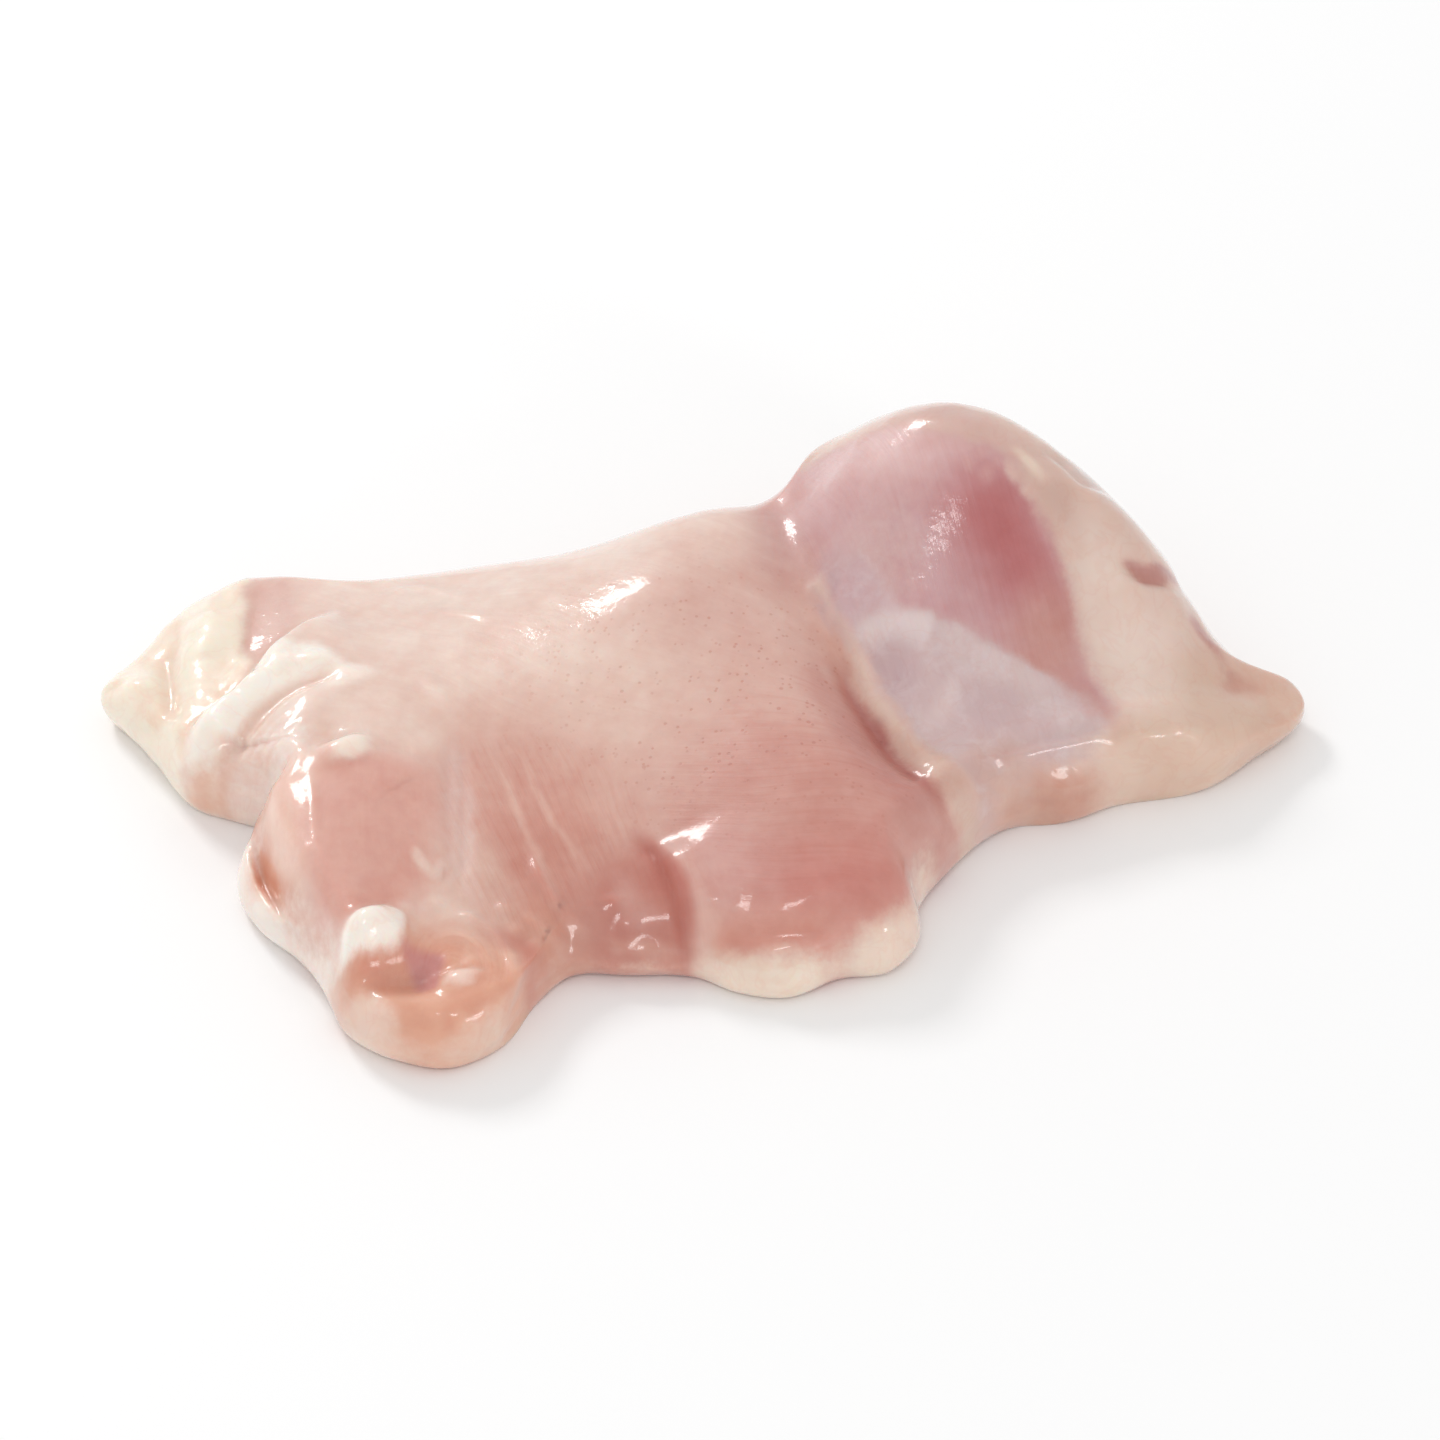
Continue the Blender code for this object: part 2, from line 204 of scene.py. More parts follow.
# %% Mounds and hollows: x, y, half length, half width, turn, height
SLAB_HEIGHT = 9.0
TOP_SWELLS = {
    "body": (0.0, 14.0, 46.0, 26.0, 12.0, 10.0),
    "hump": (31.0, 31.0, 22.0, 19.0, -22.0, 20.5),
    "hump shoulder": (52.0, 20.0, 13.0, 11.0, -50.0, 6.0),
    "left muscle": (-43.5, -19.0, 9.5, 14.0, 0.0, 4.0),
    "small lobe": (-57.5, -24.5, 5.5, 10.0, 14.0, -3.6),
    "left shoulder": (-47.0, 3.0, 12.0, 15.0, 0.0, 1.8),
    "front muscle": (14.0, -16.0, 17.0, 17.0, 0.0, 6.0),
    "pocket": (-9.5, -29.0, 9.0, 9.0, 0.0, -1.2),
    "thin rim below the pocket": (-8.0, -38.0, 15.0, 5.5, 0.0, -4.0),
    "rim of the front muscle": (9.0, -41.0, 13.0, 5.0, -5.0, -3.5),
    "front of the flap": (46.0, -9.0, 13.0, 4.0, 15.0, -2.5),
    "back crest": (-3.0, 28.0, 14.0, 9.0, 10.0, 2.5),
    "tip": (71.0, 9.0, 9.0, 8.0, 0.0, -4.0),
    "tail": (-73.0, 11.0, 11.0, 15.0, 0.0, -3.0),
    "bottom lobe": (-33.0, -45.5, 10.0, 7.0, 0.0, -0.8),
    "pit above the lobe": (-36.4, -42.6, 4.4, 2.8, 0.0, -1.5),
    "bead beside the pit": (-30.8, -43.4, 2.4, 1.8, 20.0, 1.3),
    "fat knob": (-42.0, -39.8, 3.8, 2.4, 45.0, 2.6),
    "end of the fat knob": (-38.8, -38.2, 2.5, 2.2, 0.0, 1.8),
    "tail knob": (-74.8, 8.0, 3.2, 3.6, 0.0, 2.2),
    "tail swell": (-66.4, 15.0, 3.6, 6.5, -12.0, 2.0),
    "tail corner": (-69.5, -0.5, 3.2, 2.8, 0.0, 1.4),
    "middle of the tail": (-66.2, 5.5, 2.6, 2.6, 0.0, 1.0),
    "first lump of the fat rolls": (-63.8, -4.2, 2.0, 2.6, -30.0, 1.6),
    "second lump of the fat rolls": (-61.6, -0.6, 2.0, 1.6, 50.0, 1.2),
    "third lump of the fat rolls": (-58.6, 2.6, 2.2, 1.8, 40.0, 1.3),
    "fourth lump of the fat rolls": (-55.4, 5.8, 2.4, 1.8, 30.0, 1.1),
    "fifth lump of the fat rolls": (-51.2, 5.6, 2.6, 1.8, 10.0, 0.9),
    "upper lip of the fat rolls": (-55.6, 9.8, 1.4, 3.4, -25.0, 0.9),
    "shoulder knob": (-52.8, -9.8, 2.4, 3.4, 10.0, 1.8),
    "second shoulder knob": (-48.0, -11.4, 1.9, 2.4, -10.0, 1.1),
    "fat spot": (-45.0, -10.4, 2.6, 1.8, 40.0, 1.0),
    "knot on the left slope": (-34.6, -0.8, 4.4, 1.5, -58.0, 0.5),
    "crest of the body": (-8.0, 14.5, 7.5, 8.0, 30.0, 1.6),
    "beside the fat rolls": (-51.5, -3.5, 4.0, 4.5, -40.0, 1.1),
}
print("mounds and hollows:", len(TOP_SWELLS))

# %% [markdown]
# Juice gathers in small beads along the edges, and each bead catches the lamps.
# They are bells too, only a millimetre across, in short rows.

# %% Beads of juice: x and y
BEAD_SIZE = 1.0
BEAD_HEIGHT = 0.40
BEADS = (
    (6.3, -37.9), (8.5, -37.6), (11.0, -36.9), (13.2, -37.1), (17.4, -35.6), (20.4, -34.4),
    (-12.7, -30.6), (-11.0, -33.0), (-9.0, -35.0), (-6.2, -36.2), (-1.6, -37.0),
    (-32.1, -40.3), (-29.2, -40.6), (-28.4, -43.0), (-32.9, -48.9), (-29.8, -49.2), (-27.0, -48.0),
    (-37.2, -34.0), (-33.8, -32.4), (-29.9, -34.2), (-25.7, -32.6), (-24.0, -35.4), (-21.6, -37.0),
    (24.8, -14.0), (28.6, -15.8), (53.0, -2.3), (55.0, -1.7), (57.2, -2.1), (59.8, -2.7),
    (40.9, -8.6), (43.2, -7.8), (45.4, -6.8), (47.4, -5.8), (-52.0, -31.0), (-50.0, -27.6),
)
print("beads:", len(BEADS))

# %% [markdown]
# ## Creases, seams and folds
#
# Where two muscles meet there is a furrow, and where one layer lies over the
# next there is a step. Both follow a path across the top, so both need one tool:
# how far is a point from the path, on which side, and how far along.

# %% Distance to a path
PATH_STEPS = 8


def path_curve(path):
    """Catmull-Rom curve: each piece is the cubic whose slope at a point is half
    the step from the point before to the point after."""
    points = np.array(path)
    p = np.vstack([2.0 * points[0] - points[1], points, 2.0 * points[-1] - points[-2]])[:, None]
    f = (np.arange(PATH_STEPS) / PATH_STEPS)[None, :, None]
    a, b, c, d = p[:-3], p[1:-2], p[2:-1], p[3:]
    curve = 2.0 * b + (c - a) * f + (2.0 * a - 5.0 * b + 4.0 * c - d) * f**2
    curve = curve + (3.0 * b - a - 3.0 * c + d) * f**3
    return np.vstack([0.5 * curve.reshape(-1, 2), points[-1:]])


def beside_curve(x, y, curve):
    """Distance to the nearest stretch of the curve, positive on its left, and the
    share of the curve's length passed there."""
    runs = np.diff(curve, axis=0)
    lengths = np.linalg.norm(runs, axis=1)
    passed = np.concatenate([[0.0], np.cumsum(lengths)])
    nearest = np.full(x.shape, np.inf)
    side = np.ones(x.shape)
    way = np.zeros(x.shape)
    for start, run, length, before in zip(curve, runs, lengths, passed):
        from_x = x - start[0]
        from_y = y - start[1]
        share = np.clip((from_x * run[0] + from_y * run[1]) / length**2, 0.0, 1.0)
        away = np.hypot(from_x - share * run[0], from_y - share * run[1])
        closer = away < nearest
        nearest = np.where(closer, away, nearest)
        side = np.where(closer, np.sign(run[0] * from_y - run[1] * from_x), side)
        way = np.where(closer, (before + share * length) / passed[-1], way)
    return nearest * side, way


def end_fade(way, taper):
    """1 along the middle of a path, sinking softly to 0 over each end's share."""
    return soft_step(way / taper) * soft_step((1.0 - way) / taper)


print("steps between two points of a path:", PATH_STEPS)

# %% [markdown]
# The furrows and ridges are bells across their path. The long valley parts the
# body from the hump; in it lie a crease and, beside it, a raised seam of fat.
# The thin ones are strands and the edges of membranes, which catch the light.

# %% Furrows and ridges: half width, rise, fading share, path
VALLEY = (
    (8.0, 40.0), (8.5, 30.0), (11.0, 17.0), (15.0, 7.5), (19.0, -3.0), (24.0, -11.0), (30.0, -16.0),
)
SEAM = (
    (11.5, 15.8), (14.9, 11.7), (17.1, 6.5), (19.1, 1.0), (21.9, -4.2), (25.2, -9.4), (28.2, -13.0),
    (31.5, -14.2),
)
CREASE = (
    (13.0, 11.0), (15.2, 5.5), (17.2, -0.5), (19.8, -6.0), (23.0, -11.0), (26.5, -15.8),
    (30.0, -18.0),
)
ROLLS_CREASE = (
    (-46.5, 4.0), (-49.6, 2.7), (-53.0, 1.2), (-55.4, -0.6), (-57.6, -3.1), (-59.2, -5.4),
    (-60.9, -9.0),
)
UNDER_LEFT_MUSCLE = (
    (-58.2, -13.0), (-57.2, -17.5), (-55.9, -22.0), (-54.0, -26.8), (-51.6, -31.6), (-48.6, -36.6),
    (-45.8, -41.5),
)
BESIDE_POCKET = (
    (-12.0, -20.8), (-9.2, -23.0), (-7.6, -24.6), (-6.5, -27.4), (-5.4, -30.4), (-4.1, -34.2),
    (-2.6, -37.4),
)
LILAC_SEAM = ((-32.8, -4.0), (-32.4, -12.0), (-32.0, -20.0), (-31.8, -26.0), (-32.8, -33.0))
FURROWS = {
    "valley beside the hump": (6.5, -4.0, 0.18, VALLEY),
    "crease along the fat seam": (1.6, -0.8, 0.25, CREASE),
    "fat seam": (1.7, 0.6, 0.3, SEAM),
    "crease of the fat rolls": (1.0, -0.7, 0.25, ROLLS_CREASE),
    "crease under the left muscle": (0.9, -2.2, 0.2, UNDER_LEFT_MUSCLE),
    "crease beside the pocket": (0.8, -0.4, 0.3, BESIDE_POCKET),
    "seam of the left muscle": (1.8, -0.6, 0.25, LILAC_SEAM),
    "strand in the seam": (0.6, 0.2, 0.3, LILAC_SEAM),
    "crest of the right flap": (2.6, 1.0, 0.3,
        ((33.0, -8.5), (41.0, -4.5), (48.0, -1.5), (55.0, 0.0), (64.0, 3.5))),
    "strand over the left muscle": (0.7, 0.2, 0.3,
        ((-50.2, -12.0), (-49.3, -18.0), (-48.6, -25.0), (-46.8, -31.0))),
    "valley of the tail": (1.4, -1.0, 0.3, ((-70.8, 18.0), (-70.2, 10.1), (-68.9, 3.6), (-67.7, -0.7))),
    "curl on the back": (0.8, 0.15, 0.3, ((-45.0, 18.5), (-41.0, 22.5), (-36.5, 21.5), (-31.0, 17.5))),
    "second curl on the back": (0.8, 0.12, 0.3,
        ((-41.5, 12.5), (-37.0, 15.5), (-32.5, 15.0), (-27.0, 11.5))),
    "crest of the bottom lobe": (2.6, 0.9, 0.25,
        ((-44.0, -45.0), (-40.5, -47.2), (-36.0, -48.0), (-31.5, -48.0), (-27.5, -46.2),
         (-25.0, -42.0))),
    "inner ring of the lobe": (0.7, 0.35, 0.3,
        ((-27.4, -46.0), (-26.8, -42.0), (-28.2, -38.4), (-31.0, -36.6), (-34.5, -36.6))),
    "outer ring of the lobe": (0.7, 0.35, 0.3,
        ((-24.6, -44.0), (-24.4, -40.5), (-26.0, -37.0), (-29.0, -34.4), (-33.0, -33.4))),
    "strand by the lobe": (0.8, 0.5, 0.3,
        ((-14.4, -34.4), (-18.5, -32.4), (-21.5, -28.0), (-22.5, -23.0))),
    "second strand by the lobe": (0.8, 0.5, 0.3, ((-17.0, -36.2), (-21.0, -35.0), (-24.0, -32.5))),
    "edge of the membrane on the flap": (0.8, 0.7, 0.3,
        ((34.0, -9.6), (40.0, -7.0), (44.5, -5.6), (50.5, -3.0))),
    "line along the flap's foot": (0.7, 0.5, 0.3,
        ((45.0, -6.6), (51.0, -4.4), (57.5, -2.6), (63.0, -0.8))),
    "bead along the front rim": (1.0, 0.8, 0.3,
        ((1.0, -36.4), (6.0, -37.2), (11.0, -36.8), (16.0, -34.4), (20.0, -33.6))),
    "fold in the right fat": (0.8, -0.5, 0.3, ((60.5, 20.0), (57.0, 16.0), (52.0, 15.0), (49.0, 16.5))),
    "second fold in the right fat": (0.9, -0.5, 0.3,
        ((50.5, 27.5), (46.5, 24.5), (43.5, 26.5), (40.0, 28.0))),
}
print("furrows and ridges:", len(FURROWS))

# %% [markdown]
# A fold is a soft step: the layer on the left of its path stands higher, and
# sinks back to nothing as it leaves the edge, so that no other muscle is lifted.

# %% Folds: half width of the step, rise, spread, fading share, path
FOLDS = {
    "fat rolls over the tail": (0.9, 2.4, 8.0, 0.22,
        ((-48.0, 19.5), (-53.4, 14.9), (-56.3, 10.5), (-57.8, 8.1), (-60.0, 4.3), (-62.3, 1.8),
         (-65.4, -1.2), (-66.5, -4.0), (-66.3, -7.5))),
    "left muscle over the small lobe": (0.9, 3.6, 8.0, 0.2,
        ((-57.5, -9.0), (-56.2, -14.0), (-54.8, -19.5), (-52.6, -25.5), (-50.4, -30.6), (-47.3, -36.0),
         (-44.4, -41.0), (-42.0, -45.0))),
    "top edge of the left muscle": (1.3, 0.6, 6.0, 0.35,
        ((-33.5, -16.0), (-35.5, -12.4), (-40.0, -10.8), (-45.5, -11.4), (-49.0, -14.5))),
    "front muscle over the pocket": (0.7, 1.7, 7.0, 0.3,
        ((-8.4, -22.4), (-7.5, -24.6), (-6.6, -26.8), (-5.7, -29.2), (-4.8, -31.8), (-3.6, -34.6),
         (-1.0, -38.0))),
    "rim of the silverskin": (0.6, 0.3, 5.0, 0.2,
        ((48.5, -0.2), (42.4, 2.3), (38.6, 4.0), (35.0, 5.3), (31.8, 6.7), (29.2, 7.6), (25.0, 8.8),
         (21.2, 9.3), (18.0, 9.3), (15.5, 7.5))),
}
print("folds:", len(FOLDS))

# %% [markdown]
# ## Small relief
#
# Meat is never quite smooth. Two kinds of even disorder cover what the eye sees:
# soft noise, for the slack surface of muscle, and cobbles, for fat, which sits in
# rounded lumps pressed together. A layer of relief is one of them times its height.

# %% Soft noise and cobbles
LATTICE = 64
# Spacing of the waves or lumps, height and seed of each layer
RELIEF = {
    "wide lumps of fat": (5.4, 0.8, 21),
    "small lumps of fat": (2.4, 0.15, 22),
    "wide slack": (11.0, 0.22, 23),
    "small slack": (4.0, 0.07, 24),
    "wide relief of the wall": (7.0, 0.35, 31),
    "small relief of the wall": (3.0, 0.12, 32),
}


def soft_noise(x, y, spacing, seed):
    """Random heights from -1 to 1 on a square lattice, joined by soft steps."""
    heights = np.random.default_rng(seed).uniform(-1.0, 1.0, (LATTICE, LATTICE))
    u = x / spacing + LATTICE / 2
    v = y / spacing + LATTICE / 2
    column = np.floor(u).astype(int)
    row = np.floor(v).astype(int)
    across = soft_step(u - column)
    up = soft_step(v - row)
    near = heights[column % LATTICE, row % LATTICE]
    right = heights[(column + 1) % LATTICE, row % LATTICE]
    above = heights[column % LATTICE, (row + 1) % LATTICE]
    corner = heights[(column + 1) % LATTICE, (row + 1) % LATTICE]
    lower = near * (1 - across) + right * across
    upper = above * (1 - across) + corner * across
    return lower * (1 - up) + upper * up


def cobbles(x, y, spacing, seed):
    """1 - d^2, where d is the distance to the nearest of one shaken point in
    each square of a lattice, over the spacing: a field of rounded lumps."""
    rng = np.random.default_rng(seed)
    shake_x = rng.uniform(0.15, 0.85, (LATTICE, LATTICE))
    shake_y = rng.uniform(0.15, 0.85, (LATTICE, LATTICE))
    u = x / spacing + LATTICE / 2
    v = y / spacing + LATTICE / 2
    nearest = np.full(x.shape, np.inf)
    for step_x in (-1, 0, 1):
        for step_y in (-1, 0, 1):
            column = np.floor(u).astype(int) + step_x
            row = np.floor(v).astype(int) + step_y
            at = (column % LATTICE, row % LATTICE)
            away = (u - column - shake_x[at]) ** 2 + (v - row - shake_y[at]) ** 2
            nearest = np.minimum(nearest, away)
    return 1.0 - nearest


def relief(kind, x, y, name):
    """A layer's height times its noise or cobbles."""
    spacing, rise, seed = RELIEF[name]
    return rise * kind(x, y, spacing, seed)


print("layers of small relief:", len(RELIEF))

# %% [markdown]
# ## What lies where
#
# Muscle, fat and silverskin differ in colour, lumpiness and shine, so one map
# steers the relief and the finish. It is a list of coats laid over each other: a
# spot is a turned oval, dots are a few small round spots, a stripe follows a path,
# and a patch fills a closed curve. The edges are made ragged by moving the point
# that is looked up.

# %% Spots, dots, stripes and patches
def spot(x, y, middle_x, middle_y, half_length, half_width, turn, softness):
    """1 inside an oval and 0 outside: a soft step down in r, the turned distance,
    between 1 - softness and 1 + softness."""
    u, v = turned(x, y, middle_x, middle_y, half_length, half_width, turn)
    return soft_step((1.0 + softness - np.hypot(u, v)) / (2.0 * softness))


def dots(x, y, half_size, softness, places):
    """Several round spots at once: the strongest of them at each point."""
    each = [spot(x, y, *place, half_size, half_size, 0.0, softness) for place in places]
    return np.max(each, axis=0)


def stripe(x, y, half_width, softness, taper, path):
    """The same step down with the distance from a path, faded at its ends."""
    away, way = beside_curve(x, y, path_curve(path))
    r = np.abs(away) / half_width
    return soft_step((1.0 + softness - r) / (2.0 * softness)) * end_fade(way, taper)


def patch(x, y, edge, path):
    """A soft step as wide as the edge across a closed curve. A point is inside
    where a ray to its right crosses the curve an odd number of times."""
    curve = closed_curve(path, 5)
    away = np.abs(beside_curve(x, y, curve)[0])
    crossed = np.zeros(x.shape, dtype=bool)
    for (x0, y0), (x1, y1) in zip(curve[:-1], curve[1:]):
        level = y1 - y0 if y1 != y0 else 1e-9
        crossed ^= ((y0 > y) != (y1 > y)) & (x < x0 + (y - y0) * (x1 - x0) / level)
    return soft_step(0.5 + np.where(crossed, away, -away) / edge)


def spot_at(distance):
    """A round spot of half size 1 and softness 0.5, read at a distance."""
    return round(float(spot(distance, 0.0, 0.0, 0.0, 1.0, 1.0, 0.0, 0.5)), 2)


print("a spot at its middle, edge and outside:", spot_at(0.0), spot_at(1.0), spot_at(2.0))

# %% [markdown]
# The coats go on from the widest to the smallest, as a painter would lay them:
# pale membrane over the whole body, the muscles that show through it, silverskin
# and fat, and last the small marks. Colours are screen colours of 0 to 255.

# %% Coats of muscle
MEAT, FAT, SILVER = "meat", "fat", "silverskin"
PALE_MEMBRANE = (228, 198, 184)
PALE_FAT = (232, 212, 198)
COATS = {
    "rosy middle": ((213, 171, 159), MEAT, 0.9, spot, 4, 11, 14, 13, 0, 0.8),
    "rosy back by the notch": ((196, 148, 143), MEAT, 0.9, spot, 9.0, 26.5, 4.5, 10, 10, 0.9),
    "pale left of the body": ((234, 209, 196), MEAT, 0.7, spot, -40, 12, 20, 12, -20, 0.8),
    "cream back edge": ((238, 217, 205), MEAT, 0.8, spot, -36, 27, 30, 7, -6, 0.7),
    "front muscle": ((204, 148, 136), MEAT, 0.95, spot, 11, -21, 22, 17, -12, 0.6),
    "front of the front muscle": ((203, 134, 123), MEAT, 0.9, spot, 14, -31, 11, 6, 10, 0.8),
    "pale front of the front muscle": ((214, 156, 140), MEAT, 0.7, spot, 7, -35.5, 8, 3, 0, 0.8),
    "pale cloud on the front muscle": ((213, 165, 158), MEAT, 0.6, spot, 1.5, -27, 4.5, 6, 30, 0.9),
    # muscle by the crease: redder muscle, darkened further by painted shade of the crease; dark line by
    # the crease: painted shade in the crease
    "muscle by the crease, with painted shade": ((188, 125, 116), MEAT, 0.9, spot, 20, -9, 5, 13, 28, 0.8),
    "painted shade along the crease": ((176, 108, 102), MEAT, 0.7, stripe, 1.3, 0.9, 0.25,
        ((14.5, 7.0), (16.8, 0.5), (19.4, -5.0), (22.6, -10.2), (26.0, -15.0), (29.5, -17.5))),
    "striated muscle": ((209, 155, 140), MEAT, 0.95, spot, -22, -20, 10, 16, 20, 0.55),
    "striated muscle below": ((199, 137, 121), MEAT, 0.85, spot, -22, -28, 6, 7, 0, 0.8),
    "neck of the lobe": ((207, 150, 130), MEAT, 0.8, spot, -20, -36, 7, 4, 0, 0.7),
    "left of the pocket": ((199, 143, 129), MEAT, 0.8, spot, -14, -30, 5, 7, 0, 0.7),
    "pocket": ((190, 121, 107), MEAT, 0.9, patch, 4.6,
        ((-13.6, -25.5), (-9.8, -24.4), (-7.4, -25.4), (-6.0, -27.9), (-4.9, -30.7), (-3.5, -34.4),
         (-3.6, -37.8), (-13.5, -37.6), (-14.8, -31.2))),
    "milky streak in the pocket": ((208, 160, 149), MEAT, 0.6, stripe, 1.3, 0.9, 0.3,
        ((-12.4, -25.0), (-11.0, -28.6), (-9.6, -31.6), (-7.6, -34.6))),
    # painted shade: a dark red stripe along the crease beside the pocket
    "crease beside the pocket": ((186, 108, 95), MEAT, 0.85, stripe, 1.3, 0.9, 0.25, BESIDE_POCKET),
    "line under the pocket": ((213, 166, 150), MEAT, 0.5, stripe, 0.8, 0.8, 0.25,
        ((-13.7, -34.4), (-8.2, -35.4), (-4.2, -35.6))),
    "left side of the left muscle": ((236, 199, 183), MEAT, 0.9, spot, -53, -20, 5, 13, -6, 0.5),
    "left muscle": ((217, 163, 149), MEAT, 0.95, patch, 6.5,
        ((-47.6, -12.4), (-43.0, -11.0), (-37.4, -11.0), (-33.8, -13.0), (-33.6, -20.0),
         (-34.6, -27.0), (-36.0, -33.0), (-40.0, -37.0), (-45.4, -39.0), (-48.6, -35.0),
         (-50.0, -29.0), (-50.5, -22.0), (-50.2, -16.0))),
    "tissue beside the seam": ((216, 180, 165), MEAT, 0.75, spot, -28.5, -29, 3.4, 6, 10, 0.7),
    "milky strand": ((227, 192, 177), MEAT, 0.4, stripe, 0.5, 0.9, 0.3,
        ((-28.6, -7.2), (-25.4, -15.0), (-22.6, -22.5), (-20.6, -28.0), (-19.1, -33.0))),
    "second milky strand": ((227, 192, 177), MEAT, 0.35, stripe, 0.45, 0.9, 0.3,
        ((-26.2, -6.7), (-23.4, -12.6), (-20.9, -17.6), (-18.4, -23.0), (-15.5, -28.6))),
    "third milky strand": ((226, 194, 182), MEAT, 0.5, stripe, 0.8, 0.9, 0.3,
        ((-31.6, -17.0), (-30.8, -23.0), (-29.8, -28.3), (-28.2, -32.6), (-26.0, -36.3))),
    "small lobe": ((234, 194, 174), MEAT, 0.95, spot, -55.5, -25.0, 3.4, 8.0, 20, 0.6),
    # painted shade: a dark orange stripe in the crease where the small lobe tucks under the left muscle
    "crease under the left muscle": ((206, 139, 112), MEAT, 0.85, stripe, 1.1, 0.8, 0.15,
        UNDER_LEFT_MUSCLE),
    "bottom lobe": ((222, 164, 138), MEAT, 0.95, spot, -33, -45.5, 12, 8.5, 0, 0.4),
    "pit above the lobe": ((222, 168, 148), MEAT, 0.85, spot, -39.5, -42.0, 4, 3.0, 0, 0.6),
    "red by the lobe": ((194, 122, 108), MEAT, 0.6, spot, -24.5, -37.0, 3.4, 1.4, -20, 0.8),
    "second red by the lobe": ((196, 126, 110), MEAT, 0.6, spot, -22.5, -40.5, 1.3, 2.8, 10, 0.8),
}
print("coats of muscle:", len(COATS))

# %% [markdown]
# Fat is opaque and cream; silverskin is a thin milky-lilac membrane. They get
# their own colour map over the muscle's, so that the material can later cut their
# edges sharp.

